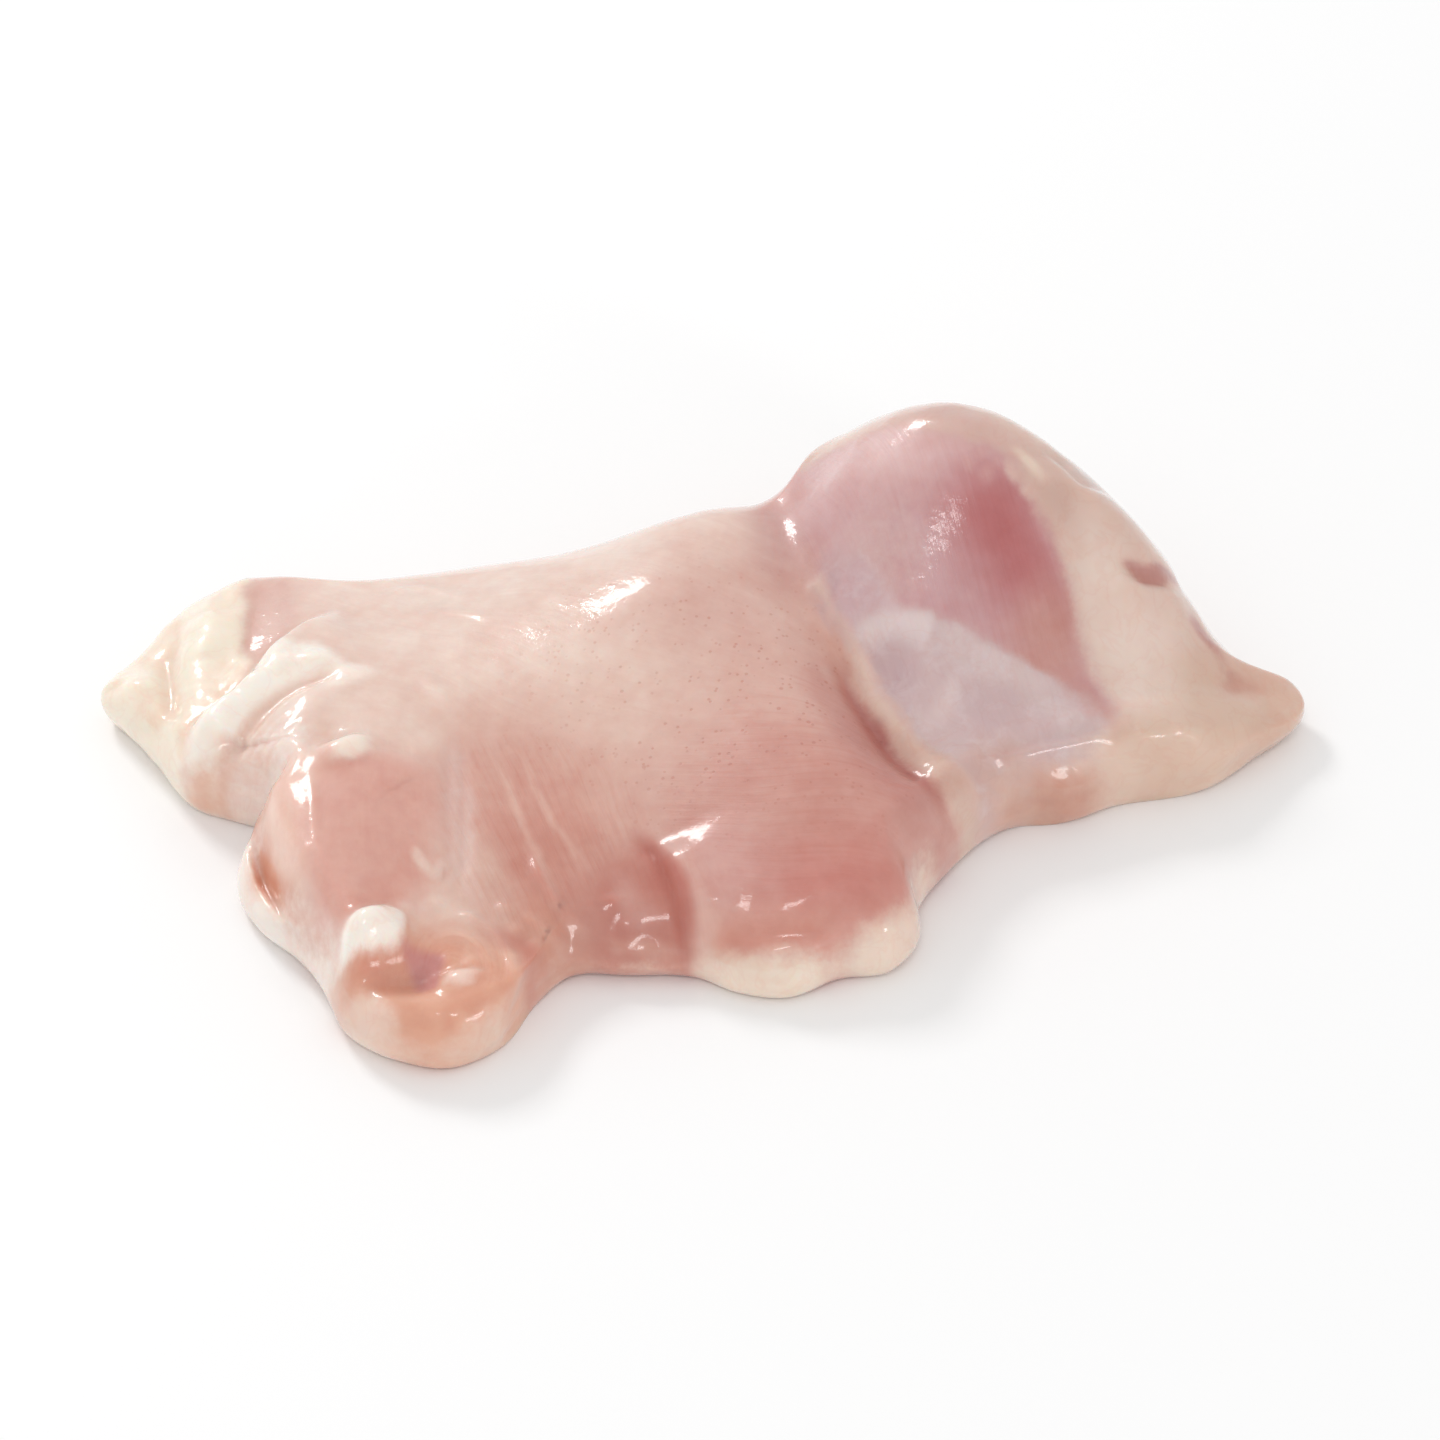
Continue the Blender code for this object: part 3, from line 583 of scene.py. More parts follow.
# %% Coats of fat and silverskin
COATS.update({
    "lilac seam": ((209, 168, 167), SILVER, 0.5, stripe, 2.0, 0.8, 0.25, LILAC_SEAM),
    "tail fat": ((247, 233, 215), FAT, 1.0, patch, 3.5,
        ((-61.5, 34.0), (-61.2, 24.7), (-60.3, 16.0), (-59.6, 10.0), (-61.0, 5.2), (-63.4, 1.7),
         (-66.2, -1.8), (-67.5, -9.5), (-73.0, -4.0), (-79.0, 4.0), (-84.0, 12.0), (-77.0, 23.0),
         (-69.0, 34.0))),
    "pink patch by the tail": ((218, 178, 166), MEAT, 0.9, patch, 3.5,
        ((-61.0, 27.0), (-55.6, 27.0), (-54.4, 20.0), (-54.8, 16.5), (-57.6, 11.5), (-60.0, 12.5),
         (-60.8, 18.0))),
    "foot of the tail": ((229, 186, 163), MEAT, 0.95, spot, -63.5, -9.0, 4.5, 2.6, -30, 0.6),
    "fat rolls": ((250, 239, 228), FAT, 0.97, patch, 4.0,
        ((-57.6, 9.0), (-60.0, 4.8), (-62.3, 2.2), (-65.4, -1.0), (-66.6, -4.0), (-65.8, -6.8),
         (-62.6, -7.4), (-59.6, -5.4), (-57.4, -2.8), (-55.4, -0.4), (-53.0, 1.4), (-49.6, 2.6),
         (-47.0, 1.4), (-44.0, 3.0), (-47.0, 6.0), (-50.0, 8.4))),
    # painted shade: a darker stripe along the crease of the fat rolls
    "crease of the fat rolls": ((238, 214, 201), MEAT, 0.4, stripe, 0.8, 0.9, 0.2, ROLLS_CREASE),
    "membrane over the notch": ((243, 221, 210), SILVER, 0.8, spot, -57.0, -9.0, 3.8, 5.0, 20, 0.6),
    "milky skin beside the rolls": ((245, 228, 218), FAT, 0.65, spot, -50.0, 0.5, 5.0, 2.6, 25, 0.9),
    "whitish shoulder": ((243, 227, 218), FAT, 0.7, spot, -53.0, -8.0, 4.0, 5.0, 10, 0.8),
    "hump": ((203, 157, 158), MEAT, 1.0, patch, 4.0,
        ((9.0, 33.5), (10.3, 28.0), (12.0, 21.0), (13.0, 17.0), (14.2, 12.5), (17.0, 7.5),
         (30.0, 5.0), (48.0, -2.0), (50.5, 2.0), (47.5, 10.0), (44.0, 17.0), (39.0, 24.0),
         (30.0, 28.5), (20.0, 33.5), (12.0, 36.0))),
    "pale top of the hump": ((224, 188, 184), MEAT, 0.9, spot, 18, 29, 11, 5, -20, 0.8),
    "pale left of the hump": ((214, 174, 174), MEAT, 0.5, spot, 14, 24, 4, 9, 15, 0.8),
    "red of the hump": ((187, 109, 109), MEAT, 0.95, patch, 9.0,
        ((28.5, 20.0), (33.0, 23.0), (38.0, 21.8), (41.5, 17.5), (43.6, 13.5), (43.0, 9.5),
         (38.5, 9.5), (32.5, 13.5))),
    "brick red below": ((202, 150, 140), MEAT, 0.85, spot, 41.5, 6.5, 5.0, 5.0, 0, 0.8),
    "lilac of the hump": ((198, 158, 164), SILVER, 0.5, spot, 19, 16, 7, 7, 0, 0.9),
    "lilac by the crease": ((184, 143, 150), SILVER, 0.8, spot, 15.5, 13.0, 2.6, 5, 25, 0.8),
    "tongue of silverskin": ((207, 174, 176), SILVER, 0.85, patch, 1.6,
        ((15.2, 15.2), (16.6, 16.4), (19.8, 14.4), (21.4, 11.6), (22.4, 8.9), (18.5, 9.0),
         (16.2, 10.5))),
    "silverskin": ((207, 181, 179), SILVER, 0.97, patch, 3.2,
        ((16.0, 8.0), (18.0, 9.6), (21.2, 9.3), (25.0, 8.8), (29.2, 7.6), (31.8, 6.7), (35.0, 5.3),
         (38.6, 4.0), (42.4, 2.3), (47.0, 0.4), (49.0, -2.4), (47.1, -5.4), (44.0, -7.4),
         (40.9, -8.6), (35.9, -10.6), (31.5, -13.8), (29.5, -12.0), (27.0, -9.5), (23.5, -4.6),
         (20.8, 0.2), (18.2, 5.4))),
    "shade of the silverskin": ((191, 159, 162), SILVER, 0.7, spot, 21.5, 2.0, 2.5, 5.0, 25, 0.9),
    "second shade of the silverskin": ((198, 168, 169), SILVER, 0.6, spot,
        33.0, -2.5, 6.5, 4.0, -25, 0.9),
    "bright edge of the silverskin": ((226, 209, 206), SILVER, 0.7, stripe, 1.6, 1.0, 0.2,
        ((17.0, 7.2), (19.5, 7.8), (23.0, 7.4), (27.5, 6.0))),
    "pale edge of the silverskin": ((217, 195, 191), SILVER, 0.55, stripe, 1.6, 1.0, 0.2,
        ((26.5, 6.4), (30.6, 5.0), (36.0, 2.8), (42.0, 0.6))),
    "arc on the silverskin": ((222, 201, 197), SILVER, 0.55, stripe, 1.1, 1.0, 0.35,
        ((31.4, 3.6), (30.1, 2.0), (29.0, -0.7), (27.4, -3.6), (25.4, -5.4))),
    "foot of the silverskin": ((203, 164, 152), SILVER, 0.7, spot, 34, -9.5, 5, 2.6, 20, 0.8),
    "beige fat of the hump": ((216, 186, 172), FAT, 0.97, patch, 5.5,
        ((8.2, 38.5), (10.4, 35.8), (16.7, 34.2), (22.8, 31.0), (29.0, 27.6), (35.2, 25.6),
         (37.8, 23.0), (41.3, 18.4), (43.6, 15.0), (45.0, 12.5), (46.0, 8.5), (47.4, 4.5),
         (49.0, 1.0), (50.2, -2.4), (53.4, -4.4), (60.0, -7.0), (72.0, -3.0), (82.0, 10.0),
         (72.0, 22.0), (62.0, 42.0), (40.0, 60.0), (20.0, 60.0), (6.0, 48.0))),
    "cream crest of the hump": ((226, 199, 186), FAT, 0.7, spot, 20, 38, 9, 4, -20, 0.8),
    "cream of the right fat": ((232, 211, 199), FAT, 0.9, patch, 7.0,
        ((45.4, 14.8), (46.6, 9.0), (48.0, 4.5), (49.8, 0.0), (53.0, -2.4), (58.0, -1.2),
         (60.6, 3.0), (59.8, 8.0), (57.5, 12.0), (53.0, 14.2), (49.0, 17.5), (45.0, 20.5))),
    "shade on the crest fat": ((205, 166, 158), FAT, 0.7, spot, 30, 30, 9, 3.0, -28, 0.9),
    "second shade on the crest fat": ((202, 169, 157), FAT, 0.6, spot, 42.5, 21.5, 5, 2.4, -50, 0.9),
    "fat flecks on the hump": ((222, 192, 180), FAT, 0.55, dots, 1.1, 1.0,
        ((37.9, 25.2), (39.5, 24.6), (40.9, 23.9), (36.3, 22.8), (38.6, 21.4))),
    "faint flecks on the hump": ((214, 170, 164), MEAT, 0.5, dots, 0.8, 1.0,
        ((29.6, 25.4), (32.2, 24.6), (34.4, 23.8), (33.0, 22.6), (30.6, 23.4), (27.6, 26.6))),
    "red between the fats": ((200, 154, 144), MEAT, 0.6, spot, 46.8, -0.4, 1.8, 3.0, 60, 0.8),
    "grey fold behind": ((202, 182, 178), SILVER, 0.6, spot, 47.0, 25.8, 5.0, 1.8, -35, 0.8),
    "fat bead on the hump": ((228, 207, 190), FAT, 0.9, spot, 38.8, 24.6, 2.2, 0.9, -25, 0.6),
    "red in the right fat": ((184, 128, 120), MEAT, 0.9, patch, 1.6,
        ((51.0, 16.0), (54.5, 17.4), (59.5, 20.4), (58.0, 17.2), (54.0, 14.6))),
    "red by the notch": ((178, 112, 108), MEAT, 0.85, stripe, 1.4, 0.8, 0.25,
        ((58.5, 15.0), (61.0, 13.2), (63.6, 10.8), (65.8, 7.5))),
    "tip": ((214, 183, 164), FAT, 0.9, spot, 67, 4, 11, 8, 25, 0.5),
    "brown of the tip": ((198, 150, 132), MEAT, 0.75, spot, 66.4, 8.4, 3.6, 1.8, 40, 0.7),
    "fat seam": ((214, 183, 168), FAT, 0.95, patch, 2.6,
        ((11.2, 16.0), (13.8, 12.4), (15.9, 7.4), (17.3, 2.0), (20.0, -3.6), (23.0, -8.8),
         (26.4, -14.2), (29.5, -16.4), (32.5, -15.2), (31.8, -12.8), (29.9, -11.6), (27.2, -9.0),
         (23.4, -4.4), (20.5, 0.3), (18.0, 5.6), (15.0, 11.4), (11.7, 16.4))),
    "flap's front": ((200, 150, 131), MEAT, 0.9, spot, 42, -9.3, 8, 1.7, 14, 0.8),
    "shade on the fat seam": ((197, 158, 145), FAT, 0.6, spot, 23.5, -8.5, 1.8, 2.8, 30, 0.8),
    "brown end of the seam": ((200, 157, 140), MEAT, 0.6, spot, 28.5, -13.0, 2.2, 1.6, 30, 0.8),
    "flap's foot": ((220, 191, 172), FAT, 0.85, spot, 57, -3.6, 11, 2.6, 14, 0.7),
    "front rim": ((234, 215, 199), FAT, 0.95, stripe, 2.1, 0.9, 0.12,
        ((-22.0, -38.3), (-14.0, -38.8), (-3.0, -39.2), (4.0, -40.4), (11.0, -40.4), (18.0, -37.4),
         (24.6, -33.8), (25.8, -26.0), (29.4, -19.0))),
    "bulge of the front rim": ((236, 220, 204), FAT, 0.9, spot, 6.0, -39.9, 10.0, 2.4, 1, 1.0),
    "corner of the front rim": ((229, 203, 187), FAT, 0.7, spot, 22.8, -33.6, 2.2, 2.8, -30, 1.0),
    "rim of the small lobe": ((247, 235, 226), FAT, 0.97, stripe, 3.1, 0.9, 0.15,
        ((-57.5, -14.0), (-60.2, -22.0), (-58.2, -28.8), (-52.6, -34.6), (-48.9, -40.0),
         (-46.4, -45.0))),
    "rim of the bottom lobe": ((228, 202, 185), FAT, 0.8, stripe, 1.8, 0.9, 0.2,
        ((-46.5, -43.0), (-44.8, -47.0), (-38.5, -51.2), (-32.0, -52.6), (-26.0, -49.2),
         (-22.6, -43.0))),
    "fat knob": ((248, 238, 228), FAT, 1.0, patch, 1.6,
        ((-44.8, -41.4), (-43.4, -42.2), (-41.0, -41.9), (-38.8, -40.2), (-37.0, -38.2),
         (-37.2, -36.0), (-38.8, -35.3), (-42.0, -37.0), (-44.4, -39.2))),
    "left rim of the bottom lobe": ((240, 212, 197), FAT, 0.75, spot, -41.2, -47.4, 3.0, 2.0, -30, 0.8),
    "fat spot": ((241, 223, 209), FAT, 0.95, spot, -44.8, -10.9, 3.2, 2.2, 40, 0.6),
    "fat bits by the seam": ((230, 205, 191), FAT, 0.6, stripe, 0.8, 0.8, 0.2,
        ((-37.5, -25.0), (-36.0, -27.0), (-34.2, -28.8), (-33.4, -26.6), (-32.8, -28.4))),
    "purple mark": ((207, 148, 148), MEAT, 0.85, patch, 1.6,
        ((-37.6, -39.6), (-35.0, -39.4), (-32.8, -39.8), (-33.2, -42.0), (-33.6, -44.6),
         (-36.0, -44.4), (-36.6, -42.2))),
    "bead beside the pit": ((236, 206, 194), FAT, 0.7, spot, -30.6, -43.4, 2.4, 1.7, 20, 0.7),
})
print("coats in all:", len(COATS))

# %% [markdown]
# Mixing happens in linear light, as light itself adds up. Every coat covers what
# lies below by its strength times its shape. A fat or silverskin coat colours the
# cover map a little beyond its edge, so that no muscle colour gets into it.

# %% Mix the coats
def linear(colour):
    """Linear light from a screen colour of 0 to 255: ((c/255 + 0.055) / 1.055)^2.4."""
    return ((np.array(colour) / 255.0 + 0.055) / 1.055) ** 2.4


def raggedness(x, y, seed):
    """How far the looked-up point moves: soft noise 6 mm wide and, half as strong,
    2 mm wide."""
    return 0.7 * soft_noise(x, y, 6.0, seed) + 0.35 * soft_noise(x, y, 2.0, seed + 1)


ragged_x = plan_x + raggedness(plan_x, plan_y, 11)
ragged_y = plan_y + raggedness(plan_x, plan_y, 13)
flesh = np.ones(plan_x.shape + (3,)) * linear(PALE_MEMBRANE)
cover = np.ones(plan_x.shape + (3,)) * linear(PALE_FAT)
fat = np.zeros(plan_x.shape)
silver = np.zeros(plan_x.shape)
for paint, tissue, coat_strength, shape, *sizes in COATS.values():
    inside = shape(ragged_x, ragged_y, *sizes)
    laid = coat_strength * inside
    bare = 1.0 - fat - silver
    fat = fat * (1.0 - laid) + laid * (tissue == FAT)
    silver = silver * (1.0 - laid) + laid * (tissue == SILVER)
    if tissue == MEAT:
        flesh = flesh * (1.0 - laid[..., None]) + linear(paint) * laid[..., None]
    else:
        beyond = np.maximum(laid, coat_strength * soft_step(3.0 * inside) * bare)[..., None]
        cover = cover * (1.0 - beyond) + linear(paint) * beyond
print("share of fat:", round(float(fat.mean()), 2), "of silverskin:", round(float(silver.mean()), 2))

# %% [markdown]
# ## Heights
#
# Now the surface can rise. The top is the slab with its swells, furrows, folds,
# beads and small relief. The roll over the rim follows a quarter of an ellipse
# from the top's height down to the wall's widest line, and the roll under goes on
# to zero.

# %% Height of every point
LEAST_CROWN = 1.0
WRINKLE_HEIGHT = 0.10
crown = SLAB_HEIGHT + sum(swell(plan_x, plan_y, *sizes) for sizes in TOP_SWELLS.values())
for half_width, rise, taper, path in FURROWS.values():
    away, way = beside_curve(plan_x, plan_y, path_curve(path))
    crown = crown + rise * np.exp(-(away / half_width) ** 2) * end_fade(way, taper)
for half_width, rise, spread, taper, path in FOLDS.values():
    away, way = beside_curve(plan_x, plan_y, path_curve(path))
    layer = 0.5 + 0.5 * np.tanh(away / half_width)
    crown = crown + rise * layer * np.exp(-(np.maximum(away, 0.0) / spread) ** 2) * end_fade(way, taper)
for bead_x, bead_y in BEADS:
    crown = crown + swell(plan_x, plan_y, bead_x, bead_y, BEAD_SIZE, BEAD_SIZE, 0.0, BEAD_HEIGHT)
lumpy = 0.5 + 0.3 * soft_step((-30.0 - plan_x) / 20.0)
wide_lumps = relief(cobbles, plan_x, plan_y, "wide lumps of fat")
fat_lumps = lumpy * (wide_lumps + relief(cobbles, plan_x, plan_y, "small lumps of fat"))
slack = relief(soft_noise, plan_x, plan_y, "wide slack")
slack = slack + relief(soft_noise, plan_x, plan_y, "small slack")
from_crease, along_crease = beside_curve(plan_x, plan_y, path_curve(ROLLS_CREASE))
wrinkle_zone = spot(plan_x, plan_y, -56.0, -7.0, 4.0, 5.5, 20, 0.8)
wrinkles = WRINKLE_HEIGHT * np.sin(4.2 * from_crease + 3.0 * along_crease) * wrinkle_zone
crown = np.maximum(crown + fat * fat_lumps + slack + wrinkles, wall + LEAST_CROWN)
height = np.where(share_down <= 2.0, wall + (crown - wall) * np.cos(over), wall * (1.0 - np.cos(below)))
print("thickest, mm:", round(float(height.max()), 1))

# %% [markdown]
# Hollows get painted shade, darker and redder, and ridges get painted light,
# paler, so that the relief shows in the colour. How hollow a place is can be read
# from the heights: it is how far a blurred copy of the surface lies above the surface itself.

# %% Paint shade into the hollows and light onto the ridges
BLUR_ROUNDS = 14
FULL_TINT_DEPTH = 0.40
blurred = crown.copy()
for _ in range(BLUR_ROUNDS):
    down = np.pad(blurred, ((1, 1), (0, 0)), mode="edge")
    sideways = np.roll(blurred, 1, axis=1) + np.roll(blurred, -1, axis=1)
    blurred = 0.25 * (down[:-2] + down[2:] + sideways)
depth = np.clip((blurred - crown) / FULL_TINT_DEPTH, -1.0, 1.0)
hollow = (depth * (share_down < 1.6))[..., None]
# painted shade makes the hollows darker and redder; painted light makes the ridges paler
painted_hollow_shade = np.array([0.97, 0.84, 0.79]) ** np.maximum(hollow, 0.0)
painted_ridge_light = np.array([1.03, 1.05, 1.06]) ** np.maximum(-hollow, 0.0)
flesh = flesh * painted_hollow_shade * painted_ridge_light
cover = cover * painted_hollow_shade ** 0.6 * painted_ridge_light
print("deepest hollow, mm:", round(float((blurred - crown).max()), 2))

# %% [markdown]
# Walls need relief too, or the sides look turned on a lathe. Each point moves a
# little along the surface's own normal, the cross product of the steps to its
# neighbours, by noise read along the wall and up it. The underside stays flat.

# %% Relief on the walls
WALL_LENGTH = 440.0
grid = np.stack([plan_x, plan_y, height], axis=-1)
step_round = np.roll(grid, -1, axis=1) - np.roll(grid, 1, axis=1)
step_down = np.gradient(grid, axis=0)
normal = np.cross(step_down, step_round)
normal = normal / np.maximum(np.linalg.norm(normal, axis=-1, keepdims=True), 1e-9)
on_wall = soft_step((share_down - 1.0) / 0.8) * soft_step(height / 2.5)
along_wall = share_round * WALL_LENGTH
up_wall = 2.0 * height
wall_relief = relief(soft_noise, along_wall, up_wall, "wide relief of the wall")
wall_relief = wall_relief + relief(soft_noise, along_wall, up_wall, "small relief of the wall")
grid = grid + normal * (on_wall * wall_relief)[..., None]
print("wall relief, mm:", round(float(np.abs(on_wall * wall_relief).max()), 2))

# %% [markdown]
# The finished surface must lie inside the solid's box, so it is fitted to it:
# each direction is scaled by the hundredth or so that the relief added. The
# first and last rows of the grid are single points, the poles, joined to their
# neighbours by triangles, and the grid closes on itself sideways.

# %% Fit to the solid's box and make the mesh
low, high = np.array(cad_low) / MM, np.array(cad_high) / MM
mine_low, mine_high = grid.min(axis=(0, 1)), grid.max(axis=(0, 1))
placed = low + (grid - mine_low) * (high - low) / (mine_high - mine_low)


def closed_mesh(name, points):
    """Mesh of a grid whose first and last rows are one point each: quads between
    the rows, wrapped round, and triangles at both poles."""
    rows, columns = points.shape[:2]
    vertices = np.vstack([points[0, :1], points[1:-1].reshape(-1, 3), points[-1, :1]])
    index = 1 + np.arange((rows - 2) * columns).reshape(rows - 2, columns)
    after = np.roll(index, -1, axis=1)
    quads = np.stack([index[:-1], index[1:], after[1:], after[:-1]], axis=-1).reshape(-1, 4)
    last = len(vertices) - 1
    first_fan = np.stack([np.zeros(columns, int), index[0], after[0]], axis=-1)
    last_fan = np.stack([np.full(columns, last), after[-1], index[-1]], axis=-1)
    mesh = bpy.data.meshes.new(name)
    faces = quads.tolist() + first_fan.tolist() + last_fan.tolist()
    mesh.from_pydata(vertices.tolist(), [], faces)
    mesh.polygons.foreach_set("use_smooth", np.ones(len(mesh.polygons), dtype=bool))
    mesh.update()
    return mesh


def per_vertex(values):
    """Values of the grid in the order of the mesh's vertices."""
    between = values[1:-1].reshape((-1,) + values.shape[2:])
    return np.concatenate([values[0, :1], between, values[-1, :1]])


meat_mesh = closed_mesh("chicken_thigh", placed * MM)
meat = bpy.data.objects.new("chicken_thigh", meat_mesh)
bpy.context.scene.collection.objects.link(meat)
print("triangles:", sum(len(p.vertices) - 2 for p in meat_mesh.polygons))

# %% [markdown]
# ## Fibres
#
# Each muscle is a bundle of fibres with its own direction. A texture that only
# knew the object's axes would run straight through all of them, so every point
# carries its own weave coordinates: how far across the fibres it is, and how far
# along. Where two regions meet the fibres fade out, so the change is not seen. In
# the bottom lobe they run round its middle in rings.

# %% Weave coordinates: x, y, half length, half width, turn, fibre direction, strength
FIBRES = {
    "hump": (28, 16, 22, 16, -25, -70, 0.55),
    "silverskin": (34, -3, 18, 9, -18, -66, 0.35),
    "front muscle": (14, -16, 20, 20, 0, -8, 0.8),
    "striated muscle": (-22, -20, 12, 17, 20, -66, 0.9),
    "pocket": (-8, -30, 9, 8, 0, -62, 0.5),
    "left muscle": (-45, -24, 11, 17, 0, -86, 0.2),
    "body": (-18, 12, 34, 20, 0, -25, 0.3),
    "tail": (-70, 10, 14, 22, 0, 60, 0.12),
    "right fat": (56, 10, 12, 16, 0, -70, 0.2),
    "bottom lobe": (-31, -44, 14, 8, 0, 0, 0.8),
}
LOBE_MIDDLE = (-31.5, -42.0)
LOBE_SQUASH = 0.7
LOBE_RADIUS = 9.0
claims = np.stack([swell(plan_x, plan_y, *sizes[:5], 1.0) for sizes in FIBRES.values()])
owner = claims.argmax(axis=0)
ordered = np.sort(claims, axis=0)
sure = soft_step((ordered[-1] - ordered[-2]) / 0.25)
direction = np.radians(np.array([sizes[5] for sizes in FIBRES.values()]))[owner]
direction = direction + 0.12 * soft_noise(plan_x, plan_y, 18.0, 41)
weave_along = plan_x * np.cos(direction) + plan_y * np.sin(direction)
weave_across = plan_y * np.cos(direction) - plan_x * np.sin(direction)
in_lobe = owner == list(FIBRES).index("bottom lobe")
from_middle = np.hypot(plan_x - LOBE_MIDDLE[0], LOBE_SQUASH * (plan_y - LOBE_MIDDLE[1]))
round_middle = np.arctan2(plan_y - LOBE_MIDDLE[1], plan_x - LOBE_MIDDLE[0])
weave_across = np.where(in_lobe, from_middle, weave_across)
weave_along = np.where(in_lobe, LOBE_RADIUS * round_middle, weave_along)
strength = np.array([sizes[6] for sizes in FIBRES.values()])[owner]
fibre = sure * strength * soft_step((1.3 - share_down) / 0.5)
print("fibre regions:", len(FIBRES), "share with fibres:", round(float((fibre > 0.2).mean()), 2))

# %% [markdown]
# The maps become attributes of the mesh, one value a vertex, which the material
# reads. An attribute travels with the surface and needs no flattening, unlike a
# painted picture.

# %% Write the attributes
def add_attribute(mesh, name, kind, field, values):
    """A named value on every vertex, written in one go."""
    attribute = mesh.attributes.new(name, kind, "POINT")
    packed = np.ascontiguousarray(per_vertex(values), dtype=np.float32)
    attribute.data.foreach_set(field, packed.ravel())


REGION_SHIFT = 40.0
opaque = np.ones(plan_x.shape + (1,))
pores = spot(plan_x, plan_y, 1, -3, 25, 18, -25, 0.6) * (1.0 - fat) * (1.0 - silver)
film = 1.0 - 0.9 * soft_step((share_down - 0.9) / 0.35)
flesh_map = np.concatenate([flesh, opaque], axis=-1)
cover_map = np.concatenate([cover, opaque], axis=-1)
tissue_map = np.stack([fat, silver, pores, fibre], axis=-1)
weave_map = np.stack([weave_across, weave_along, REGION_SHIFT * owner], axis=-1)
# The flesh and cover maps also carry the painted shade of creases and hollows and the painted light on
# ridges.
add_attribute(meat_mesh, "flesh", "FLOAT_COLOR", "color", flesh_map)
add_attribute(meat_mesh, "cover", "FLOAT_COLOR", "color", cover_map)
add_attribute(meat_mesh, "tissue", "FLOAT_COLOR", "color", tissue_map)
add_attribute(meat_mesh, "weave", "FLOAT_VECTOR", "vector", weave_map)
add_attribute(meat_mesh, "film", "FLOAT", "value", film)
print("attributes:", [a.name for a in meat_mesh.attributes if not a.name.startswith(".")])

# %% [markdown]
# ## The finish of raw meat
#
# Raw meat is translucent: light enters, is reddened and leaves a few
# millimetres away, which is subsurface scattering. Over it lies a thin film of
# juice that mirrors the lamps: a clear coat. The coat is broken up by tiny waves,
# so its lights sparkle. A small helper keeps the node code readable.

# %% Node helpers
class Nodes:
    """Adds nodes to a material and links values or sockets to their inputs."""

    def __init__(self, material):
        material.use_nodes = True
        self.tree = material.node_tree
        self.shader = self.tree.nodes["Principled BSDF"]

    def feed(self, socket, value):
        """Links a socket to an input, or sets the input to a number or colour."""
        if isinstance(value, bpy.types.NodeSocket):
            self.tree.links.new(value, socket)
        else:
            socket.default_value = value

    def attribute(self, name, output):
        """One of the maps that the mesh carries."""
        node = self.tree.nodes.new("ShaderNodeAttribute")
        node.attribute_name = name
        return node.outputs[output]

    def math(self, operation, first, second=0.0, clamp=False):
        """One sum of two numbers, such as first * second."""
        node = self.tree.nodes.new("ShaderNodeMath")
        node.operation = operation
        node.use_clamp = clamp
        self.feed(node.inputs[0], first)
        self.feed(node.inputs[1], second)
        return node.outputs[0]

    def noise(self, vector, scale, detail, roughness=0.5, distortion=0.0):
        """Soft disorder from 0 to 1, in scale waves a unit, with finer ones added."""
        node = self.tree.nodes.new("ShaderNodeTexNoise")
        self.feed(node.inputs["Vector"], vector)
        self.feed(node.inputs["Scale"], scale)
        self.feed(node.inputs["Detail"], detail)
        self.feed(node.inputs["Roughness"], roughness)
        self.feed(node.inputs["Distortion"], distortion)
        return node.outputs["Fac"]

    def mapping(self, vector, scale):
        """A place whose x, y and z are each multiplied by their own scale."""
        node = self.tree.nodes.new("ShaderNodeMapping")
        self.feed(node.inputs["Vector"], vector)
        self.feed(node.inputs["Scale"], scale)
        return node.outputs[0]

    def ramp(self, value, low, high, to_low=0.0, to_high=1.0):
        """A soft step from to_low to to_high while the value goes from low to high."""
        node = self.tree.nodes.new("ShaderNodeMapRange")
        node.interpolation_type = "SMOOTHSTEP"
        for socket, number in zip(node.inputs, (value, low, high, to_low, to_high)):
            self.feed(socket, number)
        return node.outputs[0]

    def mix(self, share, first, second, kind="MIX"):
        """first * (1 - share) + second * share, or with MULTIPLY first * second."""
        node = self.tree.nodes.new("ShaderNodeMix")
        node.data_type = "RGBA"
        node.blend_type = kind
        self.feed(node.inputs["Factor"], share)
        self.feed(node.inputs["A"], first)
        self.feed(node.inputs["B"], second)
        return node.outputs["Result"]

    def tinted(self, colour, red, green, blue):
        """A colour whose red, green and blue are each multiplied."""
        return self.mix(1.0, colour, (red, green, blue, 1.0), "MULTIPLY")

    def cells(self, vector, scale):
        """Distance to the nearest of one random point in each cell of a lattice."""
        node = self.tree.nodes.new("ShaderNodeTexVoronoi")
        self.feed(node.inputs["Vector"], vector)
        self.feed(node.inputs["Scale"], scale)
        return node.outputs["Distance"]


meat_material = bpy.data.materials.new("wet_raw_meat")
n = Nodes(meat_material)
print("material:", meat_material.name)

# %% [markdown]
# The masks come apart into fat, silverskin, pores and fibre strength. Fibres are
# noise stretched almost twenty times along the weave. Object coordinates are in metres,
# so a scale of 1000 gives one wave a millimetre. The edges of fat and silverskin
# are cut sharper here than the mesh could, with noise to make them ragged.

